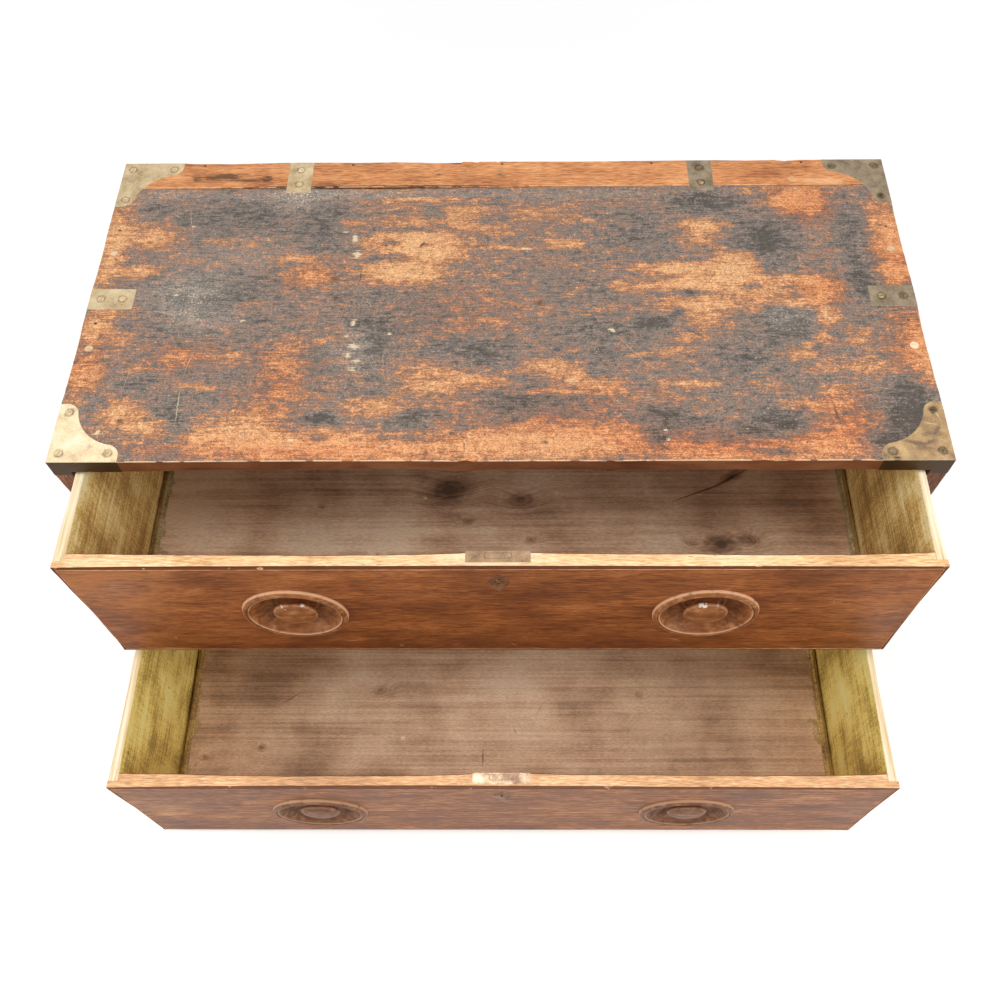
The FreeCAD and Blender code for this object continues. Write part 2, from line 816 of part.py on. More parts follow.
def pull_cups(label):
    """Two turned cups let through the front, each with a raised ring round a dish."""
    return turned_pair(label, [
        ("0", "floor_depth"),
        ("floor_radius", "floor_depth"),
        ("cup_lip_radius", "-cup_lip_rise"),
        ("cup_crown_radius", "-cup_lip_rise"),
        ("cup_radius", "0"),
        ("cup_radius", "front_thick"),
        ("0", "front_thick"),
    ])


def pull_knobs(label):
    """Two turned knobs that stand on the cups' floors: a mushroom head on a straight neck."""
    return turned_pair(label, [
        ("0", "-knob_crown_rise"),
        ("knob_crown_radius", "-knob_crown_rise"),
        ("knob_head_radius", "-knob_edge_rise"),
        ("knob_neck_radius", "knob_neck_depth"),
        ("knob_neck_radius", "floor_depth"),
        ("0", "floor_depth"),
    ])


def turned_pair(label, profile):
    """Turn a profile of (radius, depth) corners round the right-hand pull's axis and mirror it."""
    body = new_body(label)
    axis_x = "pull_spacing / 2"
    sketch = sketch_on(body, "XY_Plane")
    draw_outline(sketch, [(f"{axis_x} + {radius}", depth) for radius, depth in profile])
    axis = Part.LineSegment(FreeCAD.Vector(number(axis_x), -1, 0), FreeCAD.Vector(number(axis_x), 1, 0))
    line = sketch.addGeometry(axis, True)
    pin_point(sketch, line, 1, axis_x, "-front_thick")
    pin_point(sketch, line, 2, axis_x, "front_thick")
    turning = body.newObject("PartDesign::Revolution", f"{body.Name}_turning")
    turning.Profile = sketch
    turning.ReferenceAxis = (sketch, ["Axis0"])
    turning.Angle = 360
    pair = body.newObject("PartDesign::Mirrored", f"{body.Name}_pair")
    pair.Originals = [turning]
    pair.MirrorPlane = (sketch, ["V_Axis"])
    body.Tip = pair
    return body


def keyhole_cutter(label, eye, reach):
    """The keyhole's space: a round eye with a slot below it, from the front's face to the lock."""
    body = new_body(label)
    half = "keyhole_slot / 2"
    pad(body, "XZ_Plane", "0", reach, lambda sketch: draw_facets(sketch, "0", eye, "keyhole_radius"))
    pad(body, "XZ_Plane", "0", reach, lambda sketch: draw_rectangle(
        sketch, f"-{half}", half, f"{eye} - keyhole_length", eye))
    return body


def make_lock(drawer, height):
    """A half-mortised drawer lock: selvedge, back plate and box, with its bolt drawn down."""
    rear = f"front_thick + {drawer}_lock_proud"
    plate_front = f"{rear} - lock_plate_thick"
    cavity_front = f"{plate_front} - bolt_thick - 2 * bolt_gap"
    box_front = f"{cavity_front} - lock_wall"
    selvedge_front = f"{rear} - selvedge_width"
    selvedge_bottom = f"{height} - selvedge_thick"
    eye = f"{height} - keyhole_drop"
    half = "lock_width / 2"
    shoulder = "bolt_half + bolt_shoulder"
    body_top = f"{selvedge_bottom} - bolt_travel - bolt_gap"
    body_bottom = f"{body_top} - bolt_body_height"
    bolt_rear = f"{plate_front} - bolt_gap"
    bolt_front = f"{bolt_rear} - bolt_thick"

    def whole_plate(sketch):
        draw_rectangle(sketch, f"-{half}", half, f"{height} - lock_plate_height", height)

    def whole_box(sketch):
        draw_rectangle(sketch, "-box_half", "box_half", f"{height} - box_drop", selvedge_bottom)

    def selvedge(sketch):
        draw_rectangle(sketch, f"-{half}", half, selvedge_front, rear)

    mortise = new_body(f"{drawer}_lock_mortise")
    pad(mortise, "XZ_Plane", plate_front, rear, whole_plate)
    pad(mortise, "XZ_Plane", box_front, plate_front, whole_box)
    pad(mortise, "XY_Plane", selvedge_bottom, height, selvedge)

    case = new_body(f"{drawer}_lock_case_blank")
    pad(case, "XZ_Plane", plate_front, rear, whole_plate)
    pad(case, "XZ_Plane", box_front, plate_front, whole_box)
    pad(case, "XY_Plane", selvedge_bottom, height, selvedge)
    cavity_half = f"{shoulder} + bolt_gap"
    pocket(case, "XZ_Plane", cavity_front, plate_front, lambda sketch: draw_rectangle(
        sketch, f"-({cavity_half})", cavity_half, f"{height} - box_drop + lock_wall", selvedge_bottom))
    slot_half = "bolt_half + bolt_gap"
    pocket(case, "XY_Plane", selvedge_bottom, height, lambda sketch: draw_rectangle(
        sketch, f"-({slot_half})", slot_half, cavity_front, plate_front))
    pad(case, "XZ_Plane", cavity_front, plate_front, lambda sketch: draw_facets(
        sketch, "0", eye, "key_pin_radius"))

    bolt = new_body(f"{drawer}_lock_bolt")
    pad(bolt, "XZ_Plane", bolt_front, bolt_rear, lambda sketch: draw_outline(sketch, [
        (f"-({shoulder})", body_bottom),
        ("-talon_width / 2", body_bottom),
        ("-talon_width / 2", f"{body_bottom} + talon_depth"),
        ("talon_width / 2", f"{body_bottom} + talon_depth"),
        ("talon_width / 2", body_bottom),
        (shoulder, body_bottom),
        (shoulder, body_top),
        ("bolt_half", body_top),
        ("bolt_half", height),
        ("-bolt_half", height),
        ("-bolt_half", body_top),
        (f"-({shoulder})", body_top),
    ]))

    keyhole = keyhole_cutter(f"{drawer}_keyhole", eye, cavity_front)
    plate = new_body(f"{drawer}_escutcheon_blank")
    middle = f"{height} - escutcheon_drop"
    pad(plate, "XZ_Plane", "0", "escutcheon_thick", lambda sketch: draw_outline(sketch, [
        ("-escutcheon_width / 2", middle),
        ("0", f"{middle} - escutcheon_height / 2"),
        ("escutcheon_width / 2", middle),
        ("0", f"{middle} + escutcheon_height / 2"),
    ]))

    lock_screw = screw(f"{drawer}_lock_screw", "lock_screw_length", "lock_plate_thick")
    screws = group(f"{drawer}_lock_screws", [
        driven(lock_screw, f"{sign}({half} - lock_screw_inset)", rear, z, INTO_BACK)
        for sign in ("", "-")
        for z in (f"{height} - 2 * lock_screw_inset", f"{height} - lock_plate_height + lock_screw_inset")
    ])
    lock_case = cut_for(f"{drawer}_lock_case", case, [keyhole, screws])
    escutcheon = cut_for(f"{drawer}_escutcheon", plate, [keyhole])
    return {"parts": [lock_case, bolt, escutcheon, screws], "cutters": [mortise, keyhole, plate, screws]}


def make_drawer(drawer):
    """One drawer in its own frame, front face at y = 0 and lower edge at z = 0, then put in the case."""
    height = f"{drawer}_height"
    lock = make_lock(drawer, height)
    back = drawer_back(f"{drawer}_drawer_back", height)
    panel_half = "slip_inner + panel_groove"
    panel = board(f"{drawer}_drawer_bottom", (f"-({panel_half})", panel_half),
                  ("front_thick - panel_groove", "drawer_depth"), ("panel_lift", "panel_top"))
    sides = {
        "left": drawer_side_blank(f"{drawer}_drawer_side_left", height, "-drawer_half", "-drawer_inner"),
        "right": drawer_side_blank(f"{drawer}_drawer_side_right", height, "drawer_inner", "drawer_half"),
    }
    front = front_blank(f"{drawer}_drawer_front", height)
    parts = [back, panel] + lock["parts"]
    parts.append(cut_for(f"{drawer}_drawer_front", front, [*sides.values(), panel] + lock["cutters"]))
    for side, sign in (("left", "-"), ("right", "")):
        parts.append(cut_for(f"{drawer}_drawer_side_{side}", sides[side], [back]))
        slip = slip_blank(f"{drawer}_drawer_slip_{side}", sign)
        parts.append(cut_for(f"{drawer}_drawer_slip_{side}", slip, [back, panel]))
    turned = [pull_cups(f"{drawer}_pull_cups"), pull_knobs(f"{drawer}_pull_knobs")]
    for piece in parts + turned:
        label = piece.Label
        piece.Label = f"{label}_loose"
        lift = f"{height} / 2" if piece in turned else "0"
        standing = keep(group(label, [piece]))
        place(standing, "0", f"-half_depth - {drawer}_open", f"{drawer}_base + {lift}")


make_drawer("upper")
make_drawer("lower")


# ---------------------------------------------------------------- check and write

def check_document():
    """Stop if a feature failed, a pocket cut nothing or a piece is empty or broken."""
    doc.recompute()
    for item in doc.Objects:
        if {"Invalid", "Error"} & set(item.State):
            raise RuntimeError(f"{item.Label} failed: {item.State}")
        if item.TypeId == "PartDesign::Pocket":
            if item.Shape.Volume >= item.BaseFeature.Shape.Volume:
                raise RuntimeError(f"{item.Label} cut nothing")
    for piece in nodes:
        if piece.Shape.isNull() or not piece.Shape.isValid():
            raise RuntimeError(f"{piece.Label} has no sound shape")


def write_parts():
    os.makedirs("parts", exist_ok=True)
    for piece in nodes:
        piece.Shape.exportStep(f"parts/{piece.Label}.step")
        print(f"{piece.Label}: {len(piece.Shape.Solids)} solid, {piece.Shape.Volume / 1000:.1f} cm3")
    print(f"{len(nodes)} nodes")


check_document()
write_parts()
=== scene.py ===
"""A mahogany campaign chest with two long drawers: its finishes, turned pulls and brass work."""

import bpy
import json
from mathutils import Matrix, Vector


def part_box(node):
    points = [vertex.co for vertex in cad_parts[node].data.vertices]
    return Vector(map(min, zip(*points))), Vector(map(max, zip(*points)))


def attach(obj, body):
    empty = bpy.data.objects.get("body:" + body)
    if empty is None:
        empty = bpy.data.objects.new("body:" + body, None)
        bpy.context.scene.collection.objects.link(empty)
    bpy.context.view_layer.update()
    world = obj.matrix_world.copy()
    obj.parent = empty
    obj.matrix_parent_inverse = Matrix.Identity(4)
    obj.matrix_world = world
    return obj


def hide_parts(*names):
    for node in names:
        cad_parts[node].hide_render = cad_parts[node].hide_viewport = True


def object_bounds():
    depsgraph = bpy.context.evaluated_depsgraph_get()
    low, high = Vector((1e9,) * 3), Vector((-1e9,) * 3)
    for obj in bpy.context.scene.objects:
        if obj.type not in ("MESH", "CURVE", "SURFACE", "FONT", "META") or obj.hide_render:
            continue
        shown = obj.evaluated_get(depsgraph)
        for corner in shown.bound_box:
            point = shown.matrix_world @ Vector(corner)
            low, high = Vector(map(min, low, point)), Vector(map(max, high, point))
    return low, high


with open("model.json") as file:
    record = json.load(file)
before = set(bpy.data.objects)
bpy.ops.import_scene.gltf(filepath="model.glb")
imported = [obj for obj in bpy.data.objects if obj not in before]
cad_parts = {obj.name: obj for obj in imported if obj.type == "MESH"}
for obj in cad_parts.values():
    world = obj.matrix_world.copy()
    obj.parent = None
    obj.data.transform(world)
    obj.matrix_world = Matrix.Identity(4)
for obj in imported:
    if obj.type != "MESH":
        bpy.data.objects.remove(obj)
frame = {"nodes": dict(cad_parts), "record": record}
cad_box = [list(corner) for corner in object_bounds()]

import json
import math
import random

import bmesh
import bpy
from mathutils import Matrix, Vector, noise

NODES = frame["nodes"]
RECORD = frame["record"]
BODY_OF = {node: body for body, nodes in RECORD["behaviour"]["bodies"].items() for node in nodes}
MM = 0.001

TOP_LEVEL = cad_box[1][2]

# The drawers' fronts and their pulls, in mm; pull out is how far a pull is from the middle.
FRONTS = {level: [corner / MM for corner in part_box(level + "_drawer_front")]
          for level in ("upper", "lower")}
PULL_LEVELS = {level: (low.z + high.z) / 2 for level, (low, high) in FRONTS.items()}
PULL_OUT = 217.0

# The locks' screws: x, and how far they are below the top edge of the front, in mm.
LOCK_SCREWS = [(x, drop) for x in (-25, 25) for drop in (14, 43)]

# Places of the fixings in the top: x and y in mm from the middle.
SCREWS = [(x * sx, y * sy) for sx in (-1, 1) for sy in (-1, 1)
          for x, y in ((446, 203), (396, 203), (446, 153))]
SCREWS += [(-444, 0), (-420, 0), (444, 0), (420, 0), (-242, 201), (-242, 177), (237, 201),
           (237, 177)]
NAILS = [(x, 209.5) for x in (-360, -180, 0, 180, 360)]
NAILS += [(x, y) for x in (-443, 443) for y in (-34.6, 103.8)]
PLUGS = [(x, y) for x in (-443, 443) for y in (-69.2, 69.2)]

# How far the wood, the brass and the screws' heads are set below the solids' top, in mm.
WOOD_SUNK = 0.28
BRASS_SUNK = 0.14
HEAD_SUNK = 0.03

FORWARD = (0.0, -1.0, 0.0)
UP = (0.0, 0.0, 1.0)
SOFT = {"interpolation_type": "SMOOTHSTEP"}
COLOURS = {"data_type": "RGBA"}

# Where the four shades of polished wood lie on their ramp, and the radius in mm at which the
# turned pieces' ramps end.
TONES = (0.38, 0.46, 0.54, 0.62)
RAMP_RADIUS = 60.0

# The surround's strength as a lamp, the distances in mm over which the floor turns as white
# as the surround, its glow by the chest, and the place in metres that the lamps point at.
SURROUND_LIGHT = 0.38
GLOW_NEAR, GLOW_FAR = 900.0, 3500.0
GLOW_LEAST = 0.32
LAMP_AIM = (0.0, -0.3, 0.3)


# ---- parts of a finish

def srgb(code):
    """A colour written as sRGB hex, as the linear value that a shader takes."""
    parts = [int(code[i:i + 2], 16) / 255 for i in (0, 2, 4)]
    linear = [c / 12.92 if c <= 0.04045 else ((c + 0.055) / 1.055) ** 2.4 for c in parts]
    return (*linear, 1.0)


def add(tree, kind, sockets=None, stops=None, **settings):
    """Adds one node with its settings; a socket takes a value or the output it is linked to."""
    node = tree.nodes.new("ShaderNode" + kind)
    for name, value in settings.items():
        setattr(node, name, value)
    for socket, value in (sockets or {}).items():
        if isinstance(value, bpy.types.NodeSocket):
            tree.links.new(value, node.inputs[socket])
        else:
            node.inputs[socket].default_value = value
    if stops:
        first, *middle, last = stops
        ends = node.color_ramp.elements
        for element, (position, code) in ((ends[0], first), (ends[1], last)):
            element.position = position
            element.color = srgb(code)
        for position, code in middle:
            ends.new(position).color = srgb(code)
    return node.outputs


def open_material(name):
    """An empty material: its tree and the place of each point on the object, in millimetres."""
    material = bpy.data.materials.new(name)
    material.use_nodes = True
    tree = material.node_tree
    tree.nodes.clear()
    where = add(tree, "TexCoord")["Object"]
    where = add(tree, "VectorMath", {0: where, "Scale": 1 / MM}, operation="SCALE")[0]
    return material, tree, where


def finish_material(tree, colour, roughness, height, depth_mm, **shader):
    """The surface itself: its colour, sheen and the relief of its height, in millimetres."""
    bump = add(tree, "Bump", {"Height": height, "Distance": depth_mm * MM})[0]
    sockets = {"Base Color": colour, "Roughness": roughness, "Normal": bump}
    sockets.update({name.replace("_", " "): value for name, value in shader.items()})
    surface = add(tree, "BsdfPrincipled", sockets)[0]
    add(tree, "OutputMaterial", {"Surface": surface})


def fibres(tree, where, grain, length, width, seed=0.0, detail=4.0, rough=0.6, warp=0.0):
    """Noise drawn out along the grain; length and width are the size of its marks in mm."""
    scale = [1 / width] * 3
    scale["XYZ".index(grain)] = 1 / length
    place = add(tree, "Mapping", {"Vector": where, "Location": (seed, seed * 1.7, seed * 2.3),
                                  "Scale": scale})[0]
    return add(tree, "TexNoise", {"Vector": place, "Scale": 1.0, "Detail": detail,
                                  "Roughness": rough, "Distortion": warp})[0]


def mottle(tree, where, size, detail=4.0, rough=0.5, warp=0.0):
    """Noise whose marks are round, of a size in mm."""
    return fibres(tree, where, "X", size, size, 0.0, detail, rough, warp)


def summed(tree, *terms, start=0.0):
    """A sum of outputs, each with its weight."""
    total = start
    for value, weight in terms:
        total = add(tree, "Math", {0: value, 1: weight, 2: total}, operation="MULTIPLY_ADD")[0]
    return total


def toned(tree, colour, value, reach):
    """A colour lightened and darkened by a noise, by up to a reach either way."""
    tone = add(tree, "MapRange", {0: value, 1: 0.3, 2: 0.7, 3: 1 - reach, 4: 1 + reach})[0]
    return add(tree, "VectorMath", {0: colour, "Scale": tone}, operation="SCALE")[0]


def overlaid(tree, colour, value, low, high, most, code):
    """Lays a colour over another where a value rises from low to high, at most by a share."""
    share = add(tree, "MapRange", {0: value, 1: low, 2: high, 4: most}, **SOFT)[0]
    return add(tree, "Mix", {0: share, 6: colour, 7: srgb(code)}, **COLOURS)[2]


def laid_flat(tree, where, across, up):
    """Two of a place's three coordinates, as a place on a flat face."""
    parts = add(tree, "SeparateXYZ", {0: where})
    return add(tree, "CombineXYZ", {0: parts["XYZ".index(across)],
                                    1: parts["XYZ".index(up)]})[0]


def wandering(tree, where, size, reach):
    """A place shifted by up to about a reach in mm, so that outlines drawn on it turn ragged."""
    shift = add(tree, "TexNoise", {"Vector": where, "Scale": 1 / size, "Detail": 5.0,
                                   "Roughness": 0.7})[1]
    shift = add(tree, "VectorMath", {0: shift, 1: (0.5, 0.5, 0.5)}, operation="SUBTRACT")[0]
    return add(tree, "VectorMath", {0: shift, 1: (3 * reach, 1.6 * reach, 0.0), 2: where},
               operation="MULTIPLY_ADD")[0]


def spots(tree, flat, places, total=0.0):
    """Adds soft oval spots: place, half length and half width in mm, strength and any turn."""
    for x, y, long, wide, strength, *turn in places:
        spot = add(tree, "Mapping", {"Vector": flat, "Location": (x, y, 0.0),
                                     "Rotation": (0.0, 0.0, math.radians(sum(turn))),
                                     "Scale": (long, wide, 1e6)}, vector_type="TEXTURE")[0]
        cone = add(tree, "TexGradient", {"Vector": spot}, gradient_type="SPHERICAL")["Fac"]
        total = add(tree, "Math", {0: cone, 1: strength, 2: total}, operation="MULTIPLY_ADD")[0]
    return total


def ragged(tree, face, size, reach, places, total=0.0):
    """Spots whose outlines wander by up to about a reach, in waves of a size, both in mm."""
    return spots(tree, wandering(tree, face, size, reach), places, total)


def scored(*lines):
    """Straight scratches as long thin spots: both ends, half width in mm and strength."""
    return [((x0 + x1) / 2, (y0 + y1) / 2, math.hypot(x1 - x0, y1 - y0) / 2, width, strength,
             math.degrees(math.atan2(y1 - y0, x1 - x0)))
            for x0, y0, x1, y1, width, strength in lines]


def turned_to(tree, direction):
    """1 on the faces that look in a direction, 0 on the others."""
    facing = add(tree, "TexCoord")["Normal"]
    facing = add(tree, "VectorMath", {0: facing, 1: direction}, operation="DOT_PRODUCT")[1]
    return add(tree, "MapRange", {0: facing, 1: 0.55, 2: 0.65}, **SOFT)[0]


def on_arris(tree, where, kept):
    """1 on the broken arrises and 0 on flat faces; kept is the share that still has its skin."""
    facing = add(tree, "TexCoord")["Normal"]
    facing = add(tree, "VectorMath", {0: facing}, operation="ABSOLUTE")[0]
    parts = add(tree, "SeparateXYZ", {0: facing})
    most = add(tree, "Math", {0: parts[0], 1: parts[1]}, operation="MAXIMUM")[0]
    most = add(tree, "Math", {0: most, 1: parts[2]}, operation="MAXIMUM")[0]
    arris = add(tree, "MapRange", {0: most, 1: 0.97, 2: 0.93}, **SOFT)[0]
    rub = mottle(tree, where, 14)
    rub = add(tree, "MapRange", {0: rub, 1: kept - 0.05, 2: kept + 0.05}, **SOFT)[0]
    return add(tree, "Math", {0: arris, 1: rub}, operation="MULTIPLY")[0]


# ---- woods

def polished_wood(name, grain, shades, seed, bare=None, marks=(), scratches=(), stains=(),
                  flat=("X", "Z"), worn="D9A172", kept=0.45, sheen=(0.46, 0.62),
                  arris_shade=None):
    """Mahogany, planed and polished with shellac: ribbon figure, dark pores and a worn sheen.

    Bare gives the shades of a board that is polished on its front only.
    """
    material, tree, where = open_material(name)
    figure = fibres(tree, where, grain, 90, 3.0, seed, 5.0, 0.65, 0.35)
    cloud = fibres(tree, where, grain, 90, 34, seed + 7, 5.0)
    pores = fibres(tree, where, grain, 12, 1.0, seed + 3, 3.0, 0.6)
    shade = summed(tree, (figure, 0.36), (cloud, 0.42), (pores, 0.46), start=-0.12)
    face = laid_flat(tree, where, *flat)
    if marks:
        shade = ragged(tree, face, 18, 6, marks, shade)
    colour = add(tree, "ValToRGB", {"Fac": shade}, stops=zip(TONES, shades.split()))[0]
    rough = add(tree, "MapRange", {0: cloud, 1: 0.35, 2: 0.65, 3: sheen[0], 4: sheen[1]}, **SOFT)[0]
    if scratches:
        colour = overlaid(tree, colour, spots(tree, face, scratches), 0.15, 0.6, 0.75, worn)
    if bare:
        unpolished = add(tree, "ValToRGB", {"Fac": shade}, stops=zip(TONES, bare.split()))[0]
        outside = turned_to(tree, FORWARD)
        colour = add(tree, "Mix", {0: outside, 6: unpolished, 7: colour}, **COLOURS)[2]
        rough = add(tree, "Mix", {0: outside, 2: 0.72, 3: rough})[0]
    if stains:
        stain = summed(tree, (pores, 2.0), (cloud, 0.4), (figure, 1.4),
                       start=ragged(tree, face, 5, 3, stains))
        colour = overlaid(tree, colour, stain, 2.22, 2.46, 0.84, "3E2E25")
    arris = on_arris(tree, where, kept)
    colour = add(tree, "Mix", {0: arris, 6: colour, 7: srgb(arris_shade or worn)}, **COLOURS)[2]
    colour = toned(tree, toned(tree, colour, pores, 0.24), cloud, 0.12)
    finish_material(tree, colour, rough, summed(tree, (pores, 0.7), (figure, 0.3)), 0.18,
                    Specular_IOR_Level=0.25)
    return material


def turned_wood(name, shades, seed, level, crest_wear_and_highlight_shade, residue=()):
    """Mahogany turned on the lathe and polished: crests rubbed pale and lit by a painted
    highlight, hollows dirty and in painted shade.
    """
    material, tree, where = open_material(name)
    parts = add(tree, "SeparateXYZ", {0: where})
    beside = add(tree, "Math", {0: parts[0]}, operation="ABSOLUTE")[0]
    beside = add(tree, "Math", {0: beside, 1: PULL_OUT}, operation="SUBTRACT")[0]
    above = add(tree, "Math", {0: parts[2], 1: level}, operation="SUBTRACT")[0]
    radius = add(tree, "VectorMath", {0: add(tree, "CombineXYZ", {0: beside, 1: above})[0]},
                 operation="LENGTH")[1]
    radius = add(tree, "Math", {0: radius, 1: RAMP_RADIUS}, operation="DIVIDE")[0]
    figure = fibres(tree, where, "X", 60, 4, seed, 4.0)
    patch = mottle(tree, where, 9)
    shade = summed(tree, (figure, 0.6), (patch, 0.4))
    colour = add(tree, "ValToRGB", {"Fac": shade}, stops=zip(TONES, shades.split()))[0]
    # Dark rings round the knob's neck and in the groove between the cup's beads: dirt and painted
    # shade.
    dirt_and_painted_shade = add(tree, "ValToRGB", {"Fac": radius}, stops=[
        (0.385, "000000"), (0.42, "BBBBBB"), (0.48, "666666"), (0.56, "000000"),
        (0.832, "000000"), (0.838, "EEEEEE"), (0.848, "000000")])[0]
    colour = add(tree, "Mix", {0: dirt_and_painted_shade, 6: colour, 7: srgb("4A2814")}, **COLOURS)[2]
    # Pale rings on the knob's rim and the crests of the cup's beads: wear and a painted highlight,
    # kept in patches.
    crest_wear_and_highlight = add(tree, "ValToRGB", {"Fac": radius}, stops=[
        (0.355, "000000"), (0.376, "A0A0A0"), (0.392, "000000"), (0.795, "000000"),
        (0.815, "FFFFFF"), (0.829, "000000"), (0.914, "000000"), (0.926, "FFFFFF"),
        (0.94, "000000")])[0]
    kept = add(tree, "MapRange", {0: patch, 1: 0.28, 2: 0.44, 3: 0.3}, **SOFT)[0]
    crest_wear_and_highlight = add(tree, "Math", {0: crest_wear_and_highlight, 1: kept}, operation="MULTIPLY")[0]
    colour = add(tree, "Mix", {0: crest_wear_and_highlight, 6: colour, 7: srgb(crest_wear_and_highlight_shade)}, **COLOURS)[2]
    white = ragged(tree, laid_flat(tree, where, "X", "Z"), 3, 8, residue)
    colour = overlaid(tree, colour, white, 0.3, 0.5, 1.0, "EFE3D2")
    finish_material(tree, colour, 0.46, summed(tree, (figure, 0.5), (patch, 0.5)), 0.2,
                    Specular_IOR_Level=0.24)
    return material


def pine_board(name, grain, shades, seed, knots=(), marks=(), scratches=(), paint=None):
    """Deal boards, planed and left bare: growth lines that part round the knots, dust, no sheen.

    Paint gives the colour that ran over from the painted slips on to the board's ends.
    """
    material, tree, where = open_material(name)
    across = "Y" if grain == "X" else "X"
    face = laid_flat(tree, where, grain, across)
    bent = where
    if knots:
        round_knots = spots(tree, face, [(x, y, 2.6 * r, 1.7 * r, 1.0, *turn)
                                         for x, y, r, depth, *turn in knots])
        bulge = add(tree, "CombineXYZ", {1: round_knots})[0]
        bent = add(tree, "VectorMath", {0: bulge, 1: (0.0, 15.0, 0.0), 2: where},
                   operation="MULTIPLY_ADD")[0]
    lines = fibres(tree, bent, grain, 340, 3.2, seed, 5.0, 0.65, 0.2)
    broad = fibres(tree, bent, grain, 260, 26, seed + 5, 4.0, 0.6, 0.4)
    fluff = fibres(tree, where, grain, 5, 1.0, seed + 3, 3.0, 0.6)
    cloud = mottle(tree, where, 85)
    shade = summed(tree, (lines, 0.40), (broad, 0.40), (cloud, 0.62), (fluff, 0.16), start=-0.29)
    if knots:
        contour = add(tree, "Math", {0: round_knots, 1: 26.0}, operation="MULTIPLY")[0]
        contour = add(tree, "Math", {0: contour}, operation="SINE")[0]
        contour = add(tree, "Math", {0: contour, 1: round_knots}, operation="MULTIPLY")[0]
        shade = summed(tree, (contour, 0.035), start=shade)
        shade = ragged(tree, face, 14, 4, [(x, y, 1.5 * r, r, depth, *turn)
                                           for x, y, r, depth, *turn in knots], shade)
    if marks:
        shade = ragged(tree, face, 20, 8, marks, shade)
    shade = spots(tree, face, scratches, shade)
    colour = add(tree, "ValToRGB", {"Fac": shade},
                 stops=zip((0.24, 0.38, 0.46, 0.54, 0.64), shades.split()))[0]
    fleck = mottle(tree, where, 2.6, 1.0)
    colour = overlaid(tree, colour, fleck, 0.74, 0.80, 0.6, "D8C4A4")
    if paint:
        side = add(tree, "SeparateXYZ", {0: add(tree, "VectorMath", {0: where},
                                               operation="ABSOLUTE")[0]})[0]
        reach = summed(tree, (side, 1 / 60), (mottle(tree, where, 30, 5.0, 0.7), 1.6))
        colour = overlaid(tree, colour, reach, 7.72, 7.80, 0.8, paint)
    colour = toned(tree, colour, fluff, 0.15)
    finish_material(tree, colour, 0.78, summed(tree, (fluff, 0.6), (lines, 0.4)), 0.22)
    return material


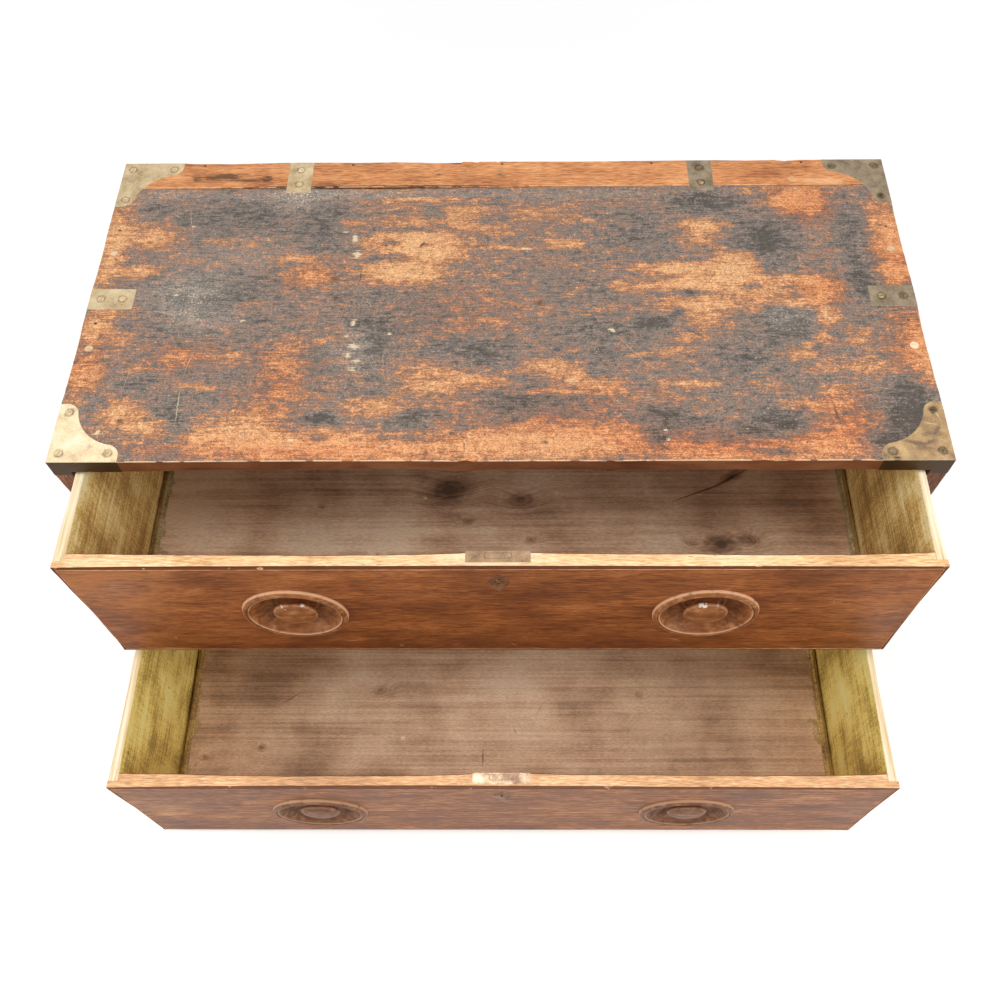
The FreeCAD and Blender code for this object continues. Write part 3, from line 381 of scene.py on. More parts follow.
# The top's wear, in spots: x and y from the middle, half length and half width in mm,
# strength, and a turn in degrees where there is one. In TOP_WEAR the stain is rubbed through
# where the strength is above 0 and still whole where it is below.
TOP_WEAR = [
    (-445, 80, 26, 95, .6), (-396, 95, 44, 30, .5), (-412, 40, 30, 12, .5),
    (-320, 88, 22, 7, .42), (-285, 84, 12, 9, .4), (-443, -42, 24, 34, .5),
    (-414, -60, 18, 20, .36), (-440, -106, 24, 42, .5), (-386, -96, 18, 18, .28),
    (-340, -80, 28, 12, .26), (-325, -122, 30, 9, .34), (-392, -152, 30, 28, .56),
    (-362, -172, 34, 16, .46), (-270, -168, 66, 30, .44), (-235, -192, 150, 26, .5),
    (-228, -95, 30, 46, .36), (-228, -142, 40, 26, .3), (-290, -78, 22, 14, .28),
    (-225, 60, 30, 9, .34), (-215, 34, 36, 18, .4), (-275, -8, 34, 14, .22),
    (-100, 82, 74, 26, .8), (-112, 38, 66, 24, .72), (-72, 62, 40, 18, .5),
    (-80, 150, 92, 5, .42), (-42, 128, 34, 24, .42), (-176, 113, 28, 9, .42),
    (-105, 118, 80, 12, .3), (-20, 106, 40, 12, .34), (10, 73, 70, 4, .44),
    (-88, -98, 44, 18, .28), (-38, -112, 66, 20, .42), (-80, -124, 50, 14, .32),
    (-128, -146, 40, 20, .36), (-60, -196, 210, 26, .5), (-4, -32, 18, 8, .32),
    (86, 15, 16, 9, .36), (130, 15, 14, 12, .4), (76, 78, 28, 12, .44), (98, 115, 14, 5, .44),
    (30, 130, 56, 18, .28), (142, 70, 22, 6, .42), (232, 105, 42, 17, .7), (226, 84, 34, 14, .42),
    (266, 42, 38, 32, .78), (196, 42, 66, 13, .56), (190, 18, 76, 16, .46),
    (232, 18, 52, 22, .42), (222, -12, 70, 18, .58), (284, 5, 44, 16, .44),
    (318, 22, 44, 12, .46), (356, 14, 34, 26, .56), (326, -10, 44, 8, .48),
    (356, -30, 20, 20, .5), (350, -58, 16, 12, .5), (386, -58, 18, 12, .44),
    (226, -32, 40, 16, .36), (200, -56, 36, 11, .42), (188, -73, 30, 8, .36),
    (150, -80, 34, 5, .34), (345, 150, 44, 34, .8), (294, 162, 26, 8, .32),
    (446, 90, 32, 72, .64), (440, 30, 34, 22, .48), (448, -62, 26, 46, .46),
    (452, -104, 16, 34, .44), (385, -98, 76, 10, .32), (318, -80, 34, 16, .32),
    (330, -146, 54, 12, .48), (352, -130, 26, 18, .36), (352, -176, 56, 34, .34),
    (196, -118, 40, 8, .5), (56, -96, 46, 15, .52), (76, -112, 30, 12, .5),
    (112, -122, 34, 16, .3), (50, -129, 80, 7, .3), (70, -188, 120, 30, .52),
    (226, -204, 130, 18, .4), (330, -198, 80, 20, .42), (-124, 83, 18, 10, -.6),
    (-86, 80, 12, 12, -.4), (-130, 60, 32, 9, -.42), (-95, 103, 26, 6, -.4),
    (210, 6, 20, 9, -.66), (197, -22, 12, 8, -.6), (276, 15, 16, 6, -.44),
    (165, -38, 24, 14, -.34), (-185, -158, 20, 12, -.7), (-186, -186, 20, 8, -.55),
    (160, -188, 18, 18, -.5), (-90, -160, 44, 14, -.34), (-95, -186, 60, 6, -.3),
    (172, -160, 50, 24, -.4), (290, -166, 50, 22, -.3), (275, -203, 50, 6, -.46),
    (-300, 128, 170, 62, -.26), (-320, -10, 110, 66, -.26), (-384, -112, 30, 34, -.24),
    (-336, -164, 30, 44, -.3), (-205, 112, 44, 60, -.22), (-134, -62, 36, 50, -.34),
    (100, -60, 90, 46, -.22), (-20, -75, 60, 34, -.24), (16, -142, 56, 24, -.3),
    (306, 84, 52, 56, -.42), (240, 146, 66, 28, -.36), (402, 60, 30, 110, -.34),
    (150, 90, 60, 60, -.2), (312, -38, 38, 34, -.46), (278, -84, 54, 32, -.26),
    (428, -160, 44, 62, -.56), (388, -192, 34, 14, -.56),
]
TOP_RED = [
    (230, -195, 190, 36, 1.2), (360, -165, 70, 50, 1), (350, 145, 60, 50, 1.2),
    (446, 60, 40, 110, 1), (440, -70, 40, 70, .9), (358, 12, 44, 36, 1), (-235, -120, 60, 80, .7),
    (-340, -80, 60, 40, .6), (60, -160, 180, 60, .8), (-190, -200, 260, 26, 1),
    (-220, 36, 60, 30, .6), (-60, -20, 110, 50, .5), (-440, -90, 30, 60, .7),
]
# Greyish veils on the top: dust, and a painted sheen of reflected light.
TOP_DUST_AND_SHEEN = [
    (-345, 8, 70, 40, .9), (-330, -30, 60, 26, .7), (-200, 160, 230, 12, .8),
    (-240, 150, 50, 24, .7), (-155, -70, 40, 40, .5), (312, -32, 36, 26, .8),
    (-400, 160, 50, 16, .6), (80, 158, 150, 14, .5), (-300, 60, 90, 40, .4),
]
TOP_PALE = [
    (-168, 90, 8, 13, .9), (-164, 66, 9, 11, .95), (-160, -34, 7, 10, .9), (-166, -54, 6, 6, .8),
    (-158, -66, 11, 8, .85), (-163, -79, 7, 8, .8), (-153, -86, 11, 6, .75),
    (-156, -98, 9, 8, .6), (-120, -50, 6, 2.4, 1), (-362, 5, 6, 4, .9), (-283, -32, 5, 3, .9),
    (-180, 100, 7, 2.2, 1), (-268, 88, 4, 4, .9), (-358, 110, 6, 4, .8), (121, -47, 7, 3, 1, -38),
    (155, -137, 20, 14, .5), (76, -112, 14, 9, .6), (30, 72, 12, 3, 1), (170, -176, 4, 3, 1),
    (172, -188, 4, 3, 1), (278, -151, 8, 3, .8), (124, -142, 10, 6, .6, -30),
    (-117, -194, 6, 3, .9), (-30, -184, 5, 3, .9), (-212, -187, 5, 3, .9), (-412, -178, 6, 7, .9),
    (346, 166, 6, 4, .8), (10, -64, 5, 7, .5, 30),
]
TOP_SCRATCHES = scored(
    (-329, -68, -336, -112, .7, .7), (-336, -112, -333, -178, .8, .8),
    (-370, 145, -352, 84, .6, .6), (-386, 132, -372, 120, .7, .7), (-376, 68, -348, 66, .6, .6),
    (-390, -92, -396, -130, .6, .5), (-350, 10, -384, 20, .8, .5), (-352, -24, -388, -16, .8, .5),
    (121, -47, 168, -106, .6, .6), (358, 0, 352, -46, .7, .6), (-150, 5, -138, -20, .6, .5),
    (-142, -95, -136, -112, .6, .6), (-126, -70, -123, -96, .6, .6),
    (-324, -166, -316, -180, .7, .7), (150, -118, 168, -104, .6, .5),
    (100, -110, 108, -132, .7, .5), (-62, -73, -20, -73, .5, .4), (284, -115, 272, -140, .6, .4),
)
TOP_DARK = scored(
    (343, -134, 350, -178, 1.4, 1), (-157, 48, -158, 18, 1.4, 1), (190, -38, 228, -62, 1, .9),
    (224, 12, 246, 42, .8, .7), (160, -190, 178, -206, 1.2, 1), (-36, -178, -34, -212, .9, .8),
    (-400, 170.6, 60, 170.6, 2.4, 1.6),
) + [
    (44, -8, 10, 8, .8), (-182, 1, 12, 7, .8), (-186, 28, 10, 10, .7, -40),
    (-392, -164, 9, 8, .8), (-90, 80, 10, 3, .9, 60), (-48, -180, 8, 3, .8), (47, -191, 7, 4, .8),
]


def rubbed_top():
    """Mahogany stained nearly black and polished, then rubbed through to red wood in use.

    The stain is a thin skin: grey where dust has bitten into it, brown where it is thin and
    orange where it is gone; over parts of it lies a greyish veil of dust and painted sheen.
    The wear runs with the grain and the knocks lie across it.
    """
    material, tree, where = open_material("mahogany_top_rubbed_through")
    face = laid_flat(tree, where, "X", "Y")
    broad = fibres(tree, where, "X", 110, 40, 1.0, 5.0, 0.6, 0.4)
    patchy = fibres(tree, where, "X", 16, 6, 4.0, 6.0, 0.74, 0.5)
    streak = fibres(tree, where, "X", 22, 1.8, 8.0, 5.0, 0.7)
    grit = fibres(tree, where, "X", 2.6, 1.2, 15.0, 2.0, 0.6)
    flake = mottle(tree, where, 7, 7.0, 0.8, 0.6)
    wear = summed(tree, (broad, 0.6), (patchy, 1.5), (streak, 0.6), (flake, 0.9), (grit, 0.3),
                  start=-1.49)
    wear = ragged(tree, wandering(tree, face, 30, 9), 7, 4, TOP_WEAR, wear)
    colour = add(tree, "ValToRGB", {"Fac": wear}, stops=[
        (0.10, "50473F"), (0.30, "746A61"), (0.43, "867468"), (0.52, "92705E"),
        (0.60, "A37456"), (0.68, "BA8258"), (0.80, "CD9163"), (1.0, "DFA977")])[0]
    reddish = ragged(tree, face, 40, 14, TOP_RED)
    reddish = add(tree, "Mix", {0: reddish, 6: srgb("FFFFFF"), 7: srgb("F8DACA")}, **COLOURS)[2]
    colour = add(tree, "VectorMath", {0: colour, 1: reddish}, operation="MULTIPLY")[0]
    dust = mottle(tree, where, 1.3, 2.0)
    # A greyish veil over the stain: partly dust, partly a painted sheen.
    dust_and_sheen = ragged(tree, face, 30, 14, TOP_DUST_AND_SHEEN)
    dust_and_sheen = add(tree, "Math", {0: dust_and_sheen, 1: patchy}, operation="MULTIPLY")[0]
    colour = add(tree, "Mix", {0: dust_and_sheen, 6: colour, 7: srgb("ACA195")}, **COLOURS)[2]
    for noise_value, reach in ((grit, 0.30), (dust, 0.32), (streak, 0.24), (flake, 0.32)):
        colour = toned(tree, colour, noise_value, reach)
    light = summed(tree, (streak, 1.7), start=ragged(tree, face, 4, 4, TOP_PALE))
    light = add(tree, "MapRange", {0: light, 1: 1.25, 2: 1.5, 4: 0.9}, **SOFT)[0]
    line = ragged(tree, face, 40, 5, TOP_SCRATCHES)
    light = add(tree, "Math", {0: light, 1: line}, operation="MAXIMUM")[0]
    chips = summed(tree, (dust_and_sheen, 0.25), start=mottle(tree, where, 2.6, 2.0, 0.7))
    chips = add(tree, "MapRange", {0: chips, 1: 0.68, 2: 0.74, 4: 0.8}, **SOFT)[0]
    light = add(tree, "Math", {0: light, 1: chips}, operation="MAXIMUM")[0]
    colour = add(tree, "Mix", {0: light, 6: colour, 7: srgb("EAD2AC")}, **COLOURS)[2]
    dents = mottle(tree, where, 3.6, 2.0, 0.6)
    dents = add(tree, "MapRange", {0: dents, 1: 0.33, 2: 0.27, 4: 0.7}, **SOFT)[0]
    dark = ragged(tree, face, 8, 2.5, TOP_DARK, dents)
    dark = add(tree, "MapRange", {0: dark, 1: 0.1, 2: 0.8, 4: 0.85}, **SOFT)[0]
    colour = add(tree, "Mix", {0: dark, 6: colour, 7: srgb("463A32")}, **COLOURS)[2]
    above = turned_to(tree, UP)
    skirt = add(tree, "ValToRGB", {"Fac": broad}, stops=[
        (0.38, "643820"), (0.5, "7E4A2B"), (0.64, "98603A")])[0]
    colour = add(tree, "Mix", {0: above, 6: skirt, 7: colour}, **COLOURS)[2]
    arris = on_arris(tree, where, 0.42)
    colour = add(tree, "Mix", {0: arris, 6: colour, 7: srgb("E6BE97")}, **COLOURS)[2]
    rough = add(tree, "MapRange", {0: wear, 1: 0.45, 2: 0.65, 3: 0.42, 4: 0.62}, **SOFT)[0]
    relief = summed(tree, (streak, 0.35), (grit, 0.35), (light, -0.5), (dark, -0.8))
    finish_material(tree, colour, rough, relief, 0.45)
    return material


def painted_sides(name, shades, seed, worn=(), slip=False):
    """Deal drawer sides brushed with ochre limewash inside, scuffed and rubbed by use.

    The top edges and the outer faces were never painted and stay pale.
    """
    material, tree, where = open_material(name)
    side = add(tree, "SeparateXYZ", {0: where})[0]
    facing = add(tree, "SeparateXYZ", {0: add(tree, "TexCoord")["Normal"]})
    inward = add(tree, "Math", {0: side, 1: facing[0]}, operation="MULTIPLY")[0]
    painted = add(tree, "MapRange", {0: inward, 1: -300.0, 2: -200.0, 3: 1.0, 4: 0.0}, **SOFT)[0]
    above = turned_to(tree, UP)
    if slip:
        painted = add(tree, "Math", {0: painted, 1: above}, operation="MAXIMUM")[0]
    strokes = fibres(tree, where, "Y", 70, 3.0, seed, 5.0, 0.65, 0.3)
    across = fibres(tree, where, "Z", 40, 5, seed + 2, 5.0, 0.65, 0.4)
    cloud = mottle(tree, where, 60)
    speck = mottle(tree, where, 2.2, 2.0)
    shade = summed(tree, (strokes, 0.6), (across, 0.3), (cloud, 0.7), (speck, 0.4), start=-0.5)
    face = laid_flat(tree, where, "Y", "Z")
    shade = ragged(tree, face, 14, 9, worn, shade)
    paint = add(tree, "ValToRGB", {"Fac": shade},
                stops=zip((0.36, 0.46, 0.54, 0.63, 0.72), shades.split()))[0]
    size, whole, gone = (6, 0.42, 0.40) if slip else (9, 0.36, 0.33)
    lost = mottle(tree, where, size, 5.0, 0.75)
    lost = add(tree, "MapRange", {0: lost, 1: whole, 2: gone, 4: 0.75}, **SOFT)[0]
    paint = add(tree, "Mix", {0: lost, 6: paint, 7: srgb("6E5232")}, **COLOURS)[2]
    streak = fibres(tree, where, "Y", 180, 3.5, seed + 5, 4.0)
    bare = add(tree, "ValToRGB", {"Fac": streak}, stops=[
        (0.32, "D9B684"), (0.48, "F3DDB2"), (0.62, "FCF1D6")])[0]
    handled = add(tree, "VectorMath", {0: bare, 1: srgb("E2CBA8")[:3]}, operation="MULTIPLY")[0]
    bare = add(tree, "Mix", {0: above, 6: handled, 7: bare}, **COLOURS)[2]
    colour = add(tree, "Mix", {0: painted, 6: bare, 7: paint}, **COLOURS)[2]
    finish_material(tree, colour, 0.72, summed(tree, (speck, 0.5), (strokes, 0.3), (lost, -0.4)),
                    0.25)
    return material


# ---- metals

def old_brass(name, shades, seed, marks=(), scratches=(), flat=("X", "Y"), edge="F0DDB4",
              painted_dark_flanges=False):
    """Sheet brass, filed flat and long unpolished: a thin dull skin, dark stains, rubbed edges.

    A brass with flanges has the sides that don't face up painted dark brown, as painted shade
    and a painted dark reflection.
    """
    material, tree, where = open_material(name)
    bloom = add(tree, "TexNoise", {"Vector": add(tree, "VectorMath", {0: where, 1: (seed,) * 3},
                                                 operation="ADD")[0],
                                   "Scale": 1 / 15, "Detail": 6.0, "Roughness": 0.62})[0]
    speck = mottle(tree, where, 1.7, 3.0)
    tarnish = summed(tree, (bloom, 0.72), (speck, 0.28))
    face = laid_flat(tree, where, *flat)
    tarnish = ragged(tree, face, 5, 2.2, marks, tarnish)
    shade = add(tree, "ValToRGB", {"Fac": tarnish},
                stops=zip((0.36, 0.46, 0.55, 0.68, 0.85), shades.split()))[0]
    # Sides that don't face up: painted shade and a painted dark reflection, dark brown toned by the
    # tarnish.
    if painted_dark_flanges:
        brown = toned(tree, srgb("4E3B26")[:3], tarnish, 0.4)
        above = turned_to(tree, UP)
        shade = add(tree, "Mix", {0: above, 6: brown, 7: shade}, **COLOURS)[2]
    line = spots(tree, face, scratches)
    bright = add(tree, "Math", {0: on_arris(tree, where, 0.36), 1: line}, operation="MAXIMUM")[0]
    shade = add(tree, "Mix", {0: bright, 6: shade, 7: srgb(edge)}, **COLOURS)[2]
    rough = add(tree, "MapRange", {0: tarnish, 1: 0.4, 2: 0.7, 3: 0.40, 4: 0.66}, **SOFT)[0]
    finish_material(tree, shade, rough, summed(tree, (speck, -0.4), (bloom, -0.6)), 0.30,
                    Metallic=0.75)
    return material


def dirty_screws(side, front):
    """Dirt round the screws on one side of the top, by its front or elsewhere."""
    return [(x, y, 6.4, 6.4, .6) for x, y in SCREWS if x * side > 0 and (y < -100) == front]


def rusty_iron():
    """Wrought nails, black with old rust."""
    material, tree, where = open_material("iron_rusted_black")
    rust = mottle(tree, where, 2.5)
    shade = add(tree, "ValToRGB", {"Fac": rust}, stops=[
        (0.4, "3A312C"), (0.52, "5C4638"), (0.62, "7E5A42")])[0]
    finish_material(tree, shade, 0.65, rust, 0.25, Metallic=0.4)
    return material


# The finishes. A palette runs from the low end of its ramp to the high end.
CASE_SHADES = "502C18 6E4027 86563A A37350"
UPPER_FRONT = polished_wood(
    "mahogany_upper_front_polished", "X", "6C3616 82451C 985627 B26E39", seed=2.0,
    bare="D9A06C EDB983 F8CB97 FDDAAE", arris_shade="6A3A1E", kept=0.3,
    # In marks, the lighter spot at the top left, the lighter band along the top and the darker band
    # along the foot are painted light and shade from above.
    marks=[(-390, 420, 110, 80, .14), (-100, 452, 420, 26, .05), (400, 360, 70, 90, .1),
           (0, 268, 300, 22, -.09), (-217, 360, 70, 62, -.03), (217, 360, 70, 62, -.03),
           (418, 300, 30, 50, .07, 20), (-4, 467, 64, 5, .3), (-428, 314, 16, 14, .14)],
    stains=[(-120, 395, 30, 3, .32), (110, 440, 60, 4, .28), (125, 418, 30, 3, .32),
            (-280, 405, 5, 7, .3), (-280, 318, 9, 4, .3), (60, 385, 50, 4, .24),
            (-260, 450, 120, 3, .2), (300, 430, 60, 3, .24)],
    scratches=[(-365, 292, 1.6, 3, 1), (-114, 268, 4, 3, .8), *scored(
        (-60, 268, -44, 274, 1, .9), (8, 278, 20, 262, 1, .8), (20, 262, 60, 257, 1, .8),
        (-190, 286, -120, 288, .8, .6), (330, 338, 390, 340, .9, .5),
        (395, 352, 432, 372, 1.4, .8), (180, 292, 205, 280, 1.2, .9),
        (260, 300, 300, 296, .9, .6), (-330, 300, -250, 302, .7, .5),
        (150, 318, 185, 306, 1, .6), (300, 262, 425, 272, 1.1, .7),
        (-430, 262, -330, 258, 1, .7), (-284, 362, -272, 366, 1, .9),
        (-180, 284, -158, 282, 1.4, .9), (-320, 360, -290, 361, .8, .6),
        (50, 345, 80, 340, .8, .5), (340, 400, 352, 372, .8, .5))])
LOWER_FRONT = polished_wood(
    "mahogany_lower_front_faded", "X", "70432B 8F5C3F A6704D C6946C", seed=12.0,
    bare="CF9C74 E2AD7D EFBA89 F8CFA2", worn="E0B48A", arris_shade="7E5640", kept=0.3,
    marks=[(-400, 150, 90, 50, .06), (420, 120, 40, 70, .06), (0, 40, 330, 24, -.04)],
    scratches=scored((-120, 60, -60, 64, .9, .5), (60, 90, 130, 86, .8, .5),
                     (300, 150, 360, 153, .8, .5), (-380, 70, -330, 74, .9, .6)))
CASE = polished_wood(
    "mahogany_case_polished", "Z", CASE_SHADES, seed=22.0, worn="B98763", kept=0.5)
RAIL = polished_wood(
    "mahogany_rail_polished", "X", CASE_SHADES, seed=32.0,
    bare="8A6A4C 9C7A5A AE8A66 C09A76")
STRIP = polished_wood(
    "mahogany_strip_rubbed_bare", "X", "A4643C CA8555 DA9663 ECAC76", seed=42.0,
    worn="EFB685", flat=("X", "Y"), sheen=(0.5, 0.66),
    marks=[(-390, 190, 24, 14, .08), (-205, 176, 26, 5, -.14), (-100, 188, 20, 3, -.1),
           (310, 190, 70, 24, -.07), (-420, 180, 40, 20, .06), (60, 204, 60, 6, .05)],
    stains=[(-346, 190, 30, 12, .75), (-322, 192, 24, 7, .6), (-304, 184, 38, 5, .8),
            (-281, 187, 9, 7, 1), (-367, 188, 9, 8, .5), (-1, 191, 8, 7, .7),
            (-76, 192, 9, 3, .6), (-98, 188, 22, 3, .3), (345, 190, 12, 9, .3),
            (-200, 175, 22, 3, .5), *scored((-390, 173, 64, 173, 2, 1.6))],
    scratches=[(-1, 191, 4.6, 4, 1), (-367, 188, 5, 4, 1), (-281, 187, 4, 3, 1),
               (15, 182, 2.4, 2, .7), (345, 182, 7, 8, .8, 40), (372, 178, 36, 6, 1, -4),
               (392, 178, 20, 5, 1, -6),
               # The long pale line along the front arris (y 175.4) is a painted highlight.
               *scored((-42, 200, -40, 195, 1.4, .9), (-380, 175.4, 60, 175.4, .6, .7))])
TOP = rubbed_top()
UPPER_BOTTOM = pine_board(
    "pine_upper_drawer_bottom", "X", "6A503B A88266 C89F7F DEB795 EED0B0", seed=52.0,
    knots=[(-66, -116, 20, -.27, 8), (21, -130, 15, -.24, 6), (-222, -140, 6, -.16),
           (-150, -205, 5, -.16), (-44, -160, 6, -.2), (34, -186, 7, -.26),
           (262, -193, 19, -.36, 10), (296, -186, 12, -.26, -20), (226, -190, 10, -.16)],
    # In marks, the broad lighter spots at x -390 and -210 are painted light over the left part of
    # the bottom.
    marks=[(-396, -112, 40, 9, .22, 4), (-390, -150, 130, 70, .16), (-210, -150, 190, 80, .09),
           (-120, -175, 200, 30, .04), (170, -125, 60, 24, -.06), (285, -97, 26, 9, -.3, 27),
           (250, -105, 70, 24, -.07), (-30, -148, 40, 8, .1, -8), (330, -160, 60, 25, .03)],
    scratches=[(66, -120, 2.6, 2.6, 1), (-96, -127, 3, 2.4, .9), *scored(
        (-214, -186, -206, -204, .8, .2), (-185, -176, -160, -186, .8, .15),
        (-150, -205, -138, -188, .8, .2), (-84, -128, -66, -124, 1, .2),
        (-110, -164, -98, -172, .8, .15))],
    paint="A39166")
LOWER_BOTTOM = pine_board(
    "pine_lower_drawer_bottom", "X", "735A45 AE8A6C CBA484 DDB897 ECCDAD", seed=152.0,
    knots=[(-170, -292, 10, -.17, 14), (-395, -384, 6, -.22), (-320, -372, 6, -.18, 4),
           (180, -300, 5, -.12)],
    # Both marks are painted shade: darker over the left end and along the front end, by the drawer
    # front.
    marks=[(-405, -354, 60, 40, -.05), (120, -420, 120, 30, -.03)],
    scratches=[(-135, -358, 3.2, 3.2, 1), *scored(
        (-303, -313, -272, -292, 1.2, -.25), (-29, -368, -29, -401, 1.2, -.3),
        (40, -330, 50, -310, 1, -.2), (10, -345, 16, -352, 1.4, -.2),
        (156, -345, 178, -318, 1.4, .1))],
    paint="B0985A")
PINE_ACROSS = pine_board(
    "pine_boards_across", "X", "5E4838 735946 876A53 9A7B60 AE8C6E", seed=252.0)
PINE_DEEP = pine_board(
    "pine_runners", "Y", "4E3B2C 6E5443 8E705A A98768 C09C7C", seed=262.0)
DRAWER_BACK = pine_board(
    "pine_drawer_backs_limewashed", "X", "7A5E36 A0804C BC9A5C D4B474 E8CE98", seed=272.0)
# The upper drawer's sides wear the lower's limewash in painted shade: a darker, browner palette.
SHADED_UPPER_PAINT = painted_sides(
    "pine_upper_sides_limewashed_painted_shade", "A07C42 C89E5A E4BE70 F6DA90 FBEBB6", seed=2.0,
    worn=[(-200, 392, 70, 16, .12), (-240, 350, 60, 10, .1), (-250, 462, 160, 16, .2),
          (-225, 296, 90, 14, -.12), (-160, 400, 40, 40, -.08), (-296, 330, 14, 90, .12),
          (-190, 330, 70, 6, .1), (-212, 420, 60, 5, .14)])
LOWER_PAINT = painted_sides(
    "pine_lower_sides_limewashed", "B4984E E6CA6A FCE480 FFF092 FFF6AC", seed=32.0,
    worn=[(-330, 120, 110, 18, .1), (-420, 72, 90, 22, .1), (-300, 222, 240, 12, .12),
          (-400, 150, 80, 12, -.08), (-250, 130, 90, 16, -.08), (-330, 186, 130, 8, .08)])
UPPER_SLIP = painted_sides(
    "pine_upper_slips_limewashed", "705834 90774C AA9060 C2AA7A DCC8A0", seed=62.0,
    slip=True)
LOWER_SLIP = painted_sides(
    "pine_lower_slips_limewashed", "8A6838 AE8A4C CAA85E DFC276 F0DCA0", seed=72.0,
    slip=True)
PULL_WOOD = turned_wood(
    "mahogany_upper_pulls_turned", "7A421E 8C532A 9E6236 B47C4C", seed=72.0,
    level=PULL_LEVELS["upper"], crest_wear_and_highlight_shade="DEB088",
    residue=[(-205, 381, 5, 3, 1), (-228, 380, 3, 2, 1), (211, 382, 7, 4, 1), (228, 381, 5, 2, 1)])
PALE_PULL_WOOD = turned_wood(
    "mahogany_lower_pulls_turned", "6E4630 7E543A 906448 A67A5A", seed=92.0,
    level=PULL_LEVELS["lower"], crest_wear_and_highlight_shade="C49A78")
PELLET = pine_board(
    "pellets_end_grain", "X", "A88460 C9A47C E2C096 F2D6B0 FAE8CC", seed=82.0)
BRASS_CREAM = old_brass(
    "brass_rubbed_cream", "FFF0D0 F8E4BC E8D0A8 BEA686 7C6A54", seed=3.0, painted_dark_flanges=True,
    marks=[*dirty_screws(-1, True), (-415, -196, 5, 5, .14), (-440, -190, 22, 20, -.14)],
    scratches=scored((-446, -158, -428, -160, .6, .5), (-448, -166, -430, -168, .5, .4)))
BRASS_KHAKI = old_brass(
    "brass_dull_khaki", "E4D0A8 D4BE96 C4AC86 A08A68 6E5C44", seed=13.0, painted_dark_flanges=True,
    marks=dirty_screws(-1, False), scratches=scored((-246, 186, -238, 178, .5, .5)))
BRASS_STAINED = old_brass(
    "brass_tan_stained", "D4B484 BE9E72 AC8C66 84705A 453B32", seed=23.0, painted_dark_flanges=True,
    marks=[*dirty_screws(1, True), (399, -211, 5, 2.4, .3), (420, -193, 16, 3.6, .26, -14),
           (436, -192, 10, 3.4, .24, 20), (428, -200, 10, 5, .14), (412, -176, 8, 4, .22, 10),
           (446, -176, 12, 3, .16, 60), (440, -182, 14, 8, .08)],
    scratches=scored((430, -168, 450, -172, 1, .6), (446, -150, 452, -168, .9, .6)))
BRASS_SMOKY = old_brass(
    "brass_smoky_olive", "AE9C80 A08E74 8E7E68 72644E 4A3F30", seed=33.0, painted_dark_flanges=True,
    edge="C9B694", marks=[*dirty_screws(1, False), (237, 206, 14, 7, .1)])
BRASS_LOCK_UPPER = old_brass(
    "brass_lock_smoky", "BFA07E AE8E70 9C7E62 7E634A 4E3A28", seed=43.0, edge="CDB08C")
BRASS_LOCK_LOWER = old_brass(
    "brass_lock_pale", "EEDCBC D6BC9C BE9E84 A08068 6E5644", seed=53.0,
    marks=[(-24, -463, 10, 8, -.14), (12, -463, 16, 8, .06)])
BRASS_KEYHOLE = old_brass(
    "brass_keyhole_brown", "A87E58 8C6242 744C30 5E3A22 3E2614", seed=63.0,
    flat=("X", "Z"), edge="D8B48A")
BRASS_SCREWS = old_brass(
    "brass_screw_heads", "F0DEBC E0CAA4 CBB28C 8E7858 52422E", seed=73.0,
    marks=[(446, 203, 14, 14, .3), (396, 203, 14, 14, .3), (446, 153, 14, 14, .3),
           (432, 0, 40, 20, .3), (237, 190, 20, 30, .3), (421, -178, 70, 60, .5)])
IRON = rusty_iron()

FINISH = {
    "drawer_divider": RAIL, "top_corner_front_left": BRASS_CREAM,
    "top_corner_front_right": BRASS_STAINED, "top_corner_rear_right": BRASS_SMOKY,
    "rear_strap_right": BRASS_SMOKY, "side_strap_right": BRASS_SMOKY,
    "upper_drawer_bottom": UPPER_BOTTOM, "lower_drawer_bottom": LOWER_BOTTOM,
    "upper_lock_case": BRASS_LOCK_UPPER, "upper_lock_bolt": BRASS_LOCK_UPPER,
    "lower_lock_case": BRASS_LOCK_LOWER, "lower_lock_bolt": BRASS_LOCK_LOWER,
    "lower_pull_cups": PALE_PULL_WOOD, "lower_pull_knobs": PALE_PULL_WOOD,
}
for side in ("left", "right"):
    FINISH["runner_" + side] = PINE_DEEP
    FINISH["upper_drawer_slip_" + side] = UPPER_SLIP
    FINISH["lower_drawer_slip_" + side] = LOWER_SLIP
    FINISH["lower_drawer_side_" + side] = LOWER_PAINT
for level in FRONTS:
    FINISH[level + "_drawer_back"] = DRAWER_BACK
    FINISH[level + "_escutcheon"] = BRASS_KEYHOLE
BY_SLOT = {"top_wood": TOP, "strip_wood": STRIP, "case_wood": CASE, "pine": PINE_ACROSS,
           "upper_front_wood": UPPER_FRONT, "lower_front_wood": LOWER_FRONT,
           "painted_wood": SHADED_UPPER_PAINT, "pull_wood": PULL_WOOD, "pellet_wood": PELLET,
           "brass": BRASS_KHAKI, "iron": IRON}


def slot_of(node):
    """The record's material slot of a node."""
    return next(part["material_slot"] for part in RECORD["subparts"] if part["node"] == node)


def finish_of(node):
    """The finish that a node wears."""
    return FINISH.get(node) or BY_SLOT[slot_of(node)]


# ---- pieces

def mesh_of(bm, name):
    """Turns a piece under work into a mesh."""
    mesh = bpy.data.meshes.new(name)
    bm.to_mesh(mesh)
    bm.free()
    return mesh


def put_in_scene(name, data):
    """A new object in the scene, made of a mesh, a lamp or a camera."""
    thing = bpy.data.objects.new(name, data)
    bpy.context.scene.collection.objects.link(thing)
    return thing


def cut(bm, place, direction):
    """Cuts every face that a plane crosses; nothing comes apart."""
    bmesh.ops.bisect_plane(bm, geom=bm.verts[:] + bm.edges[:] + bm.faces[:], dist=1e-7,
                           plane_co=place, plane_no=direction)


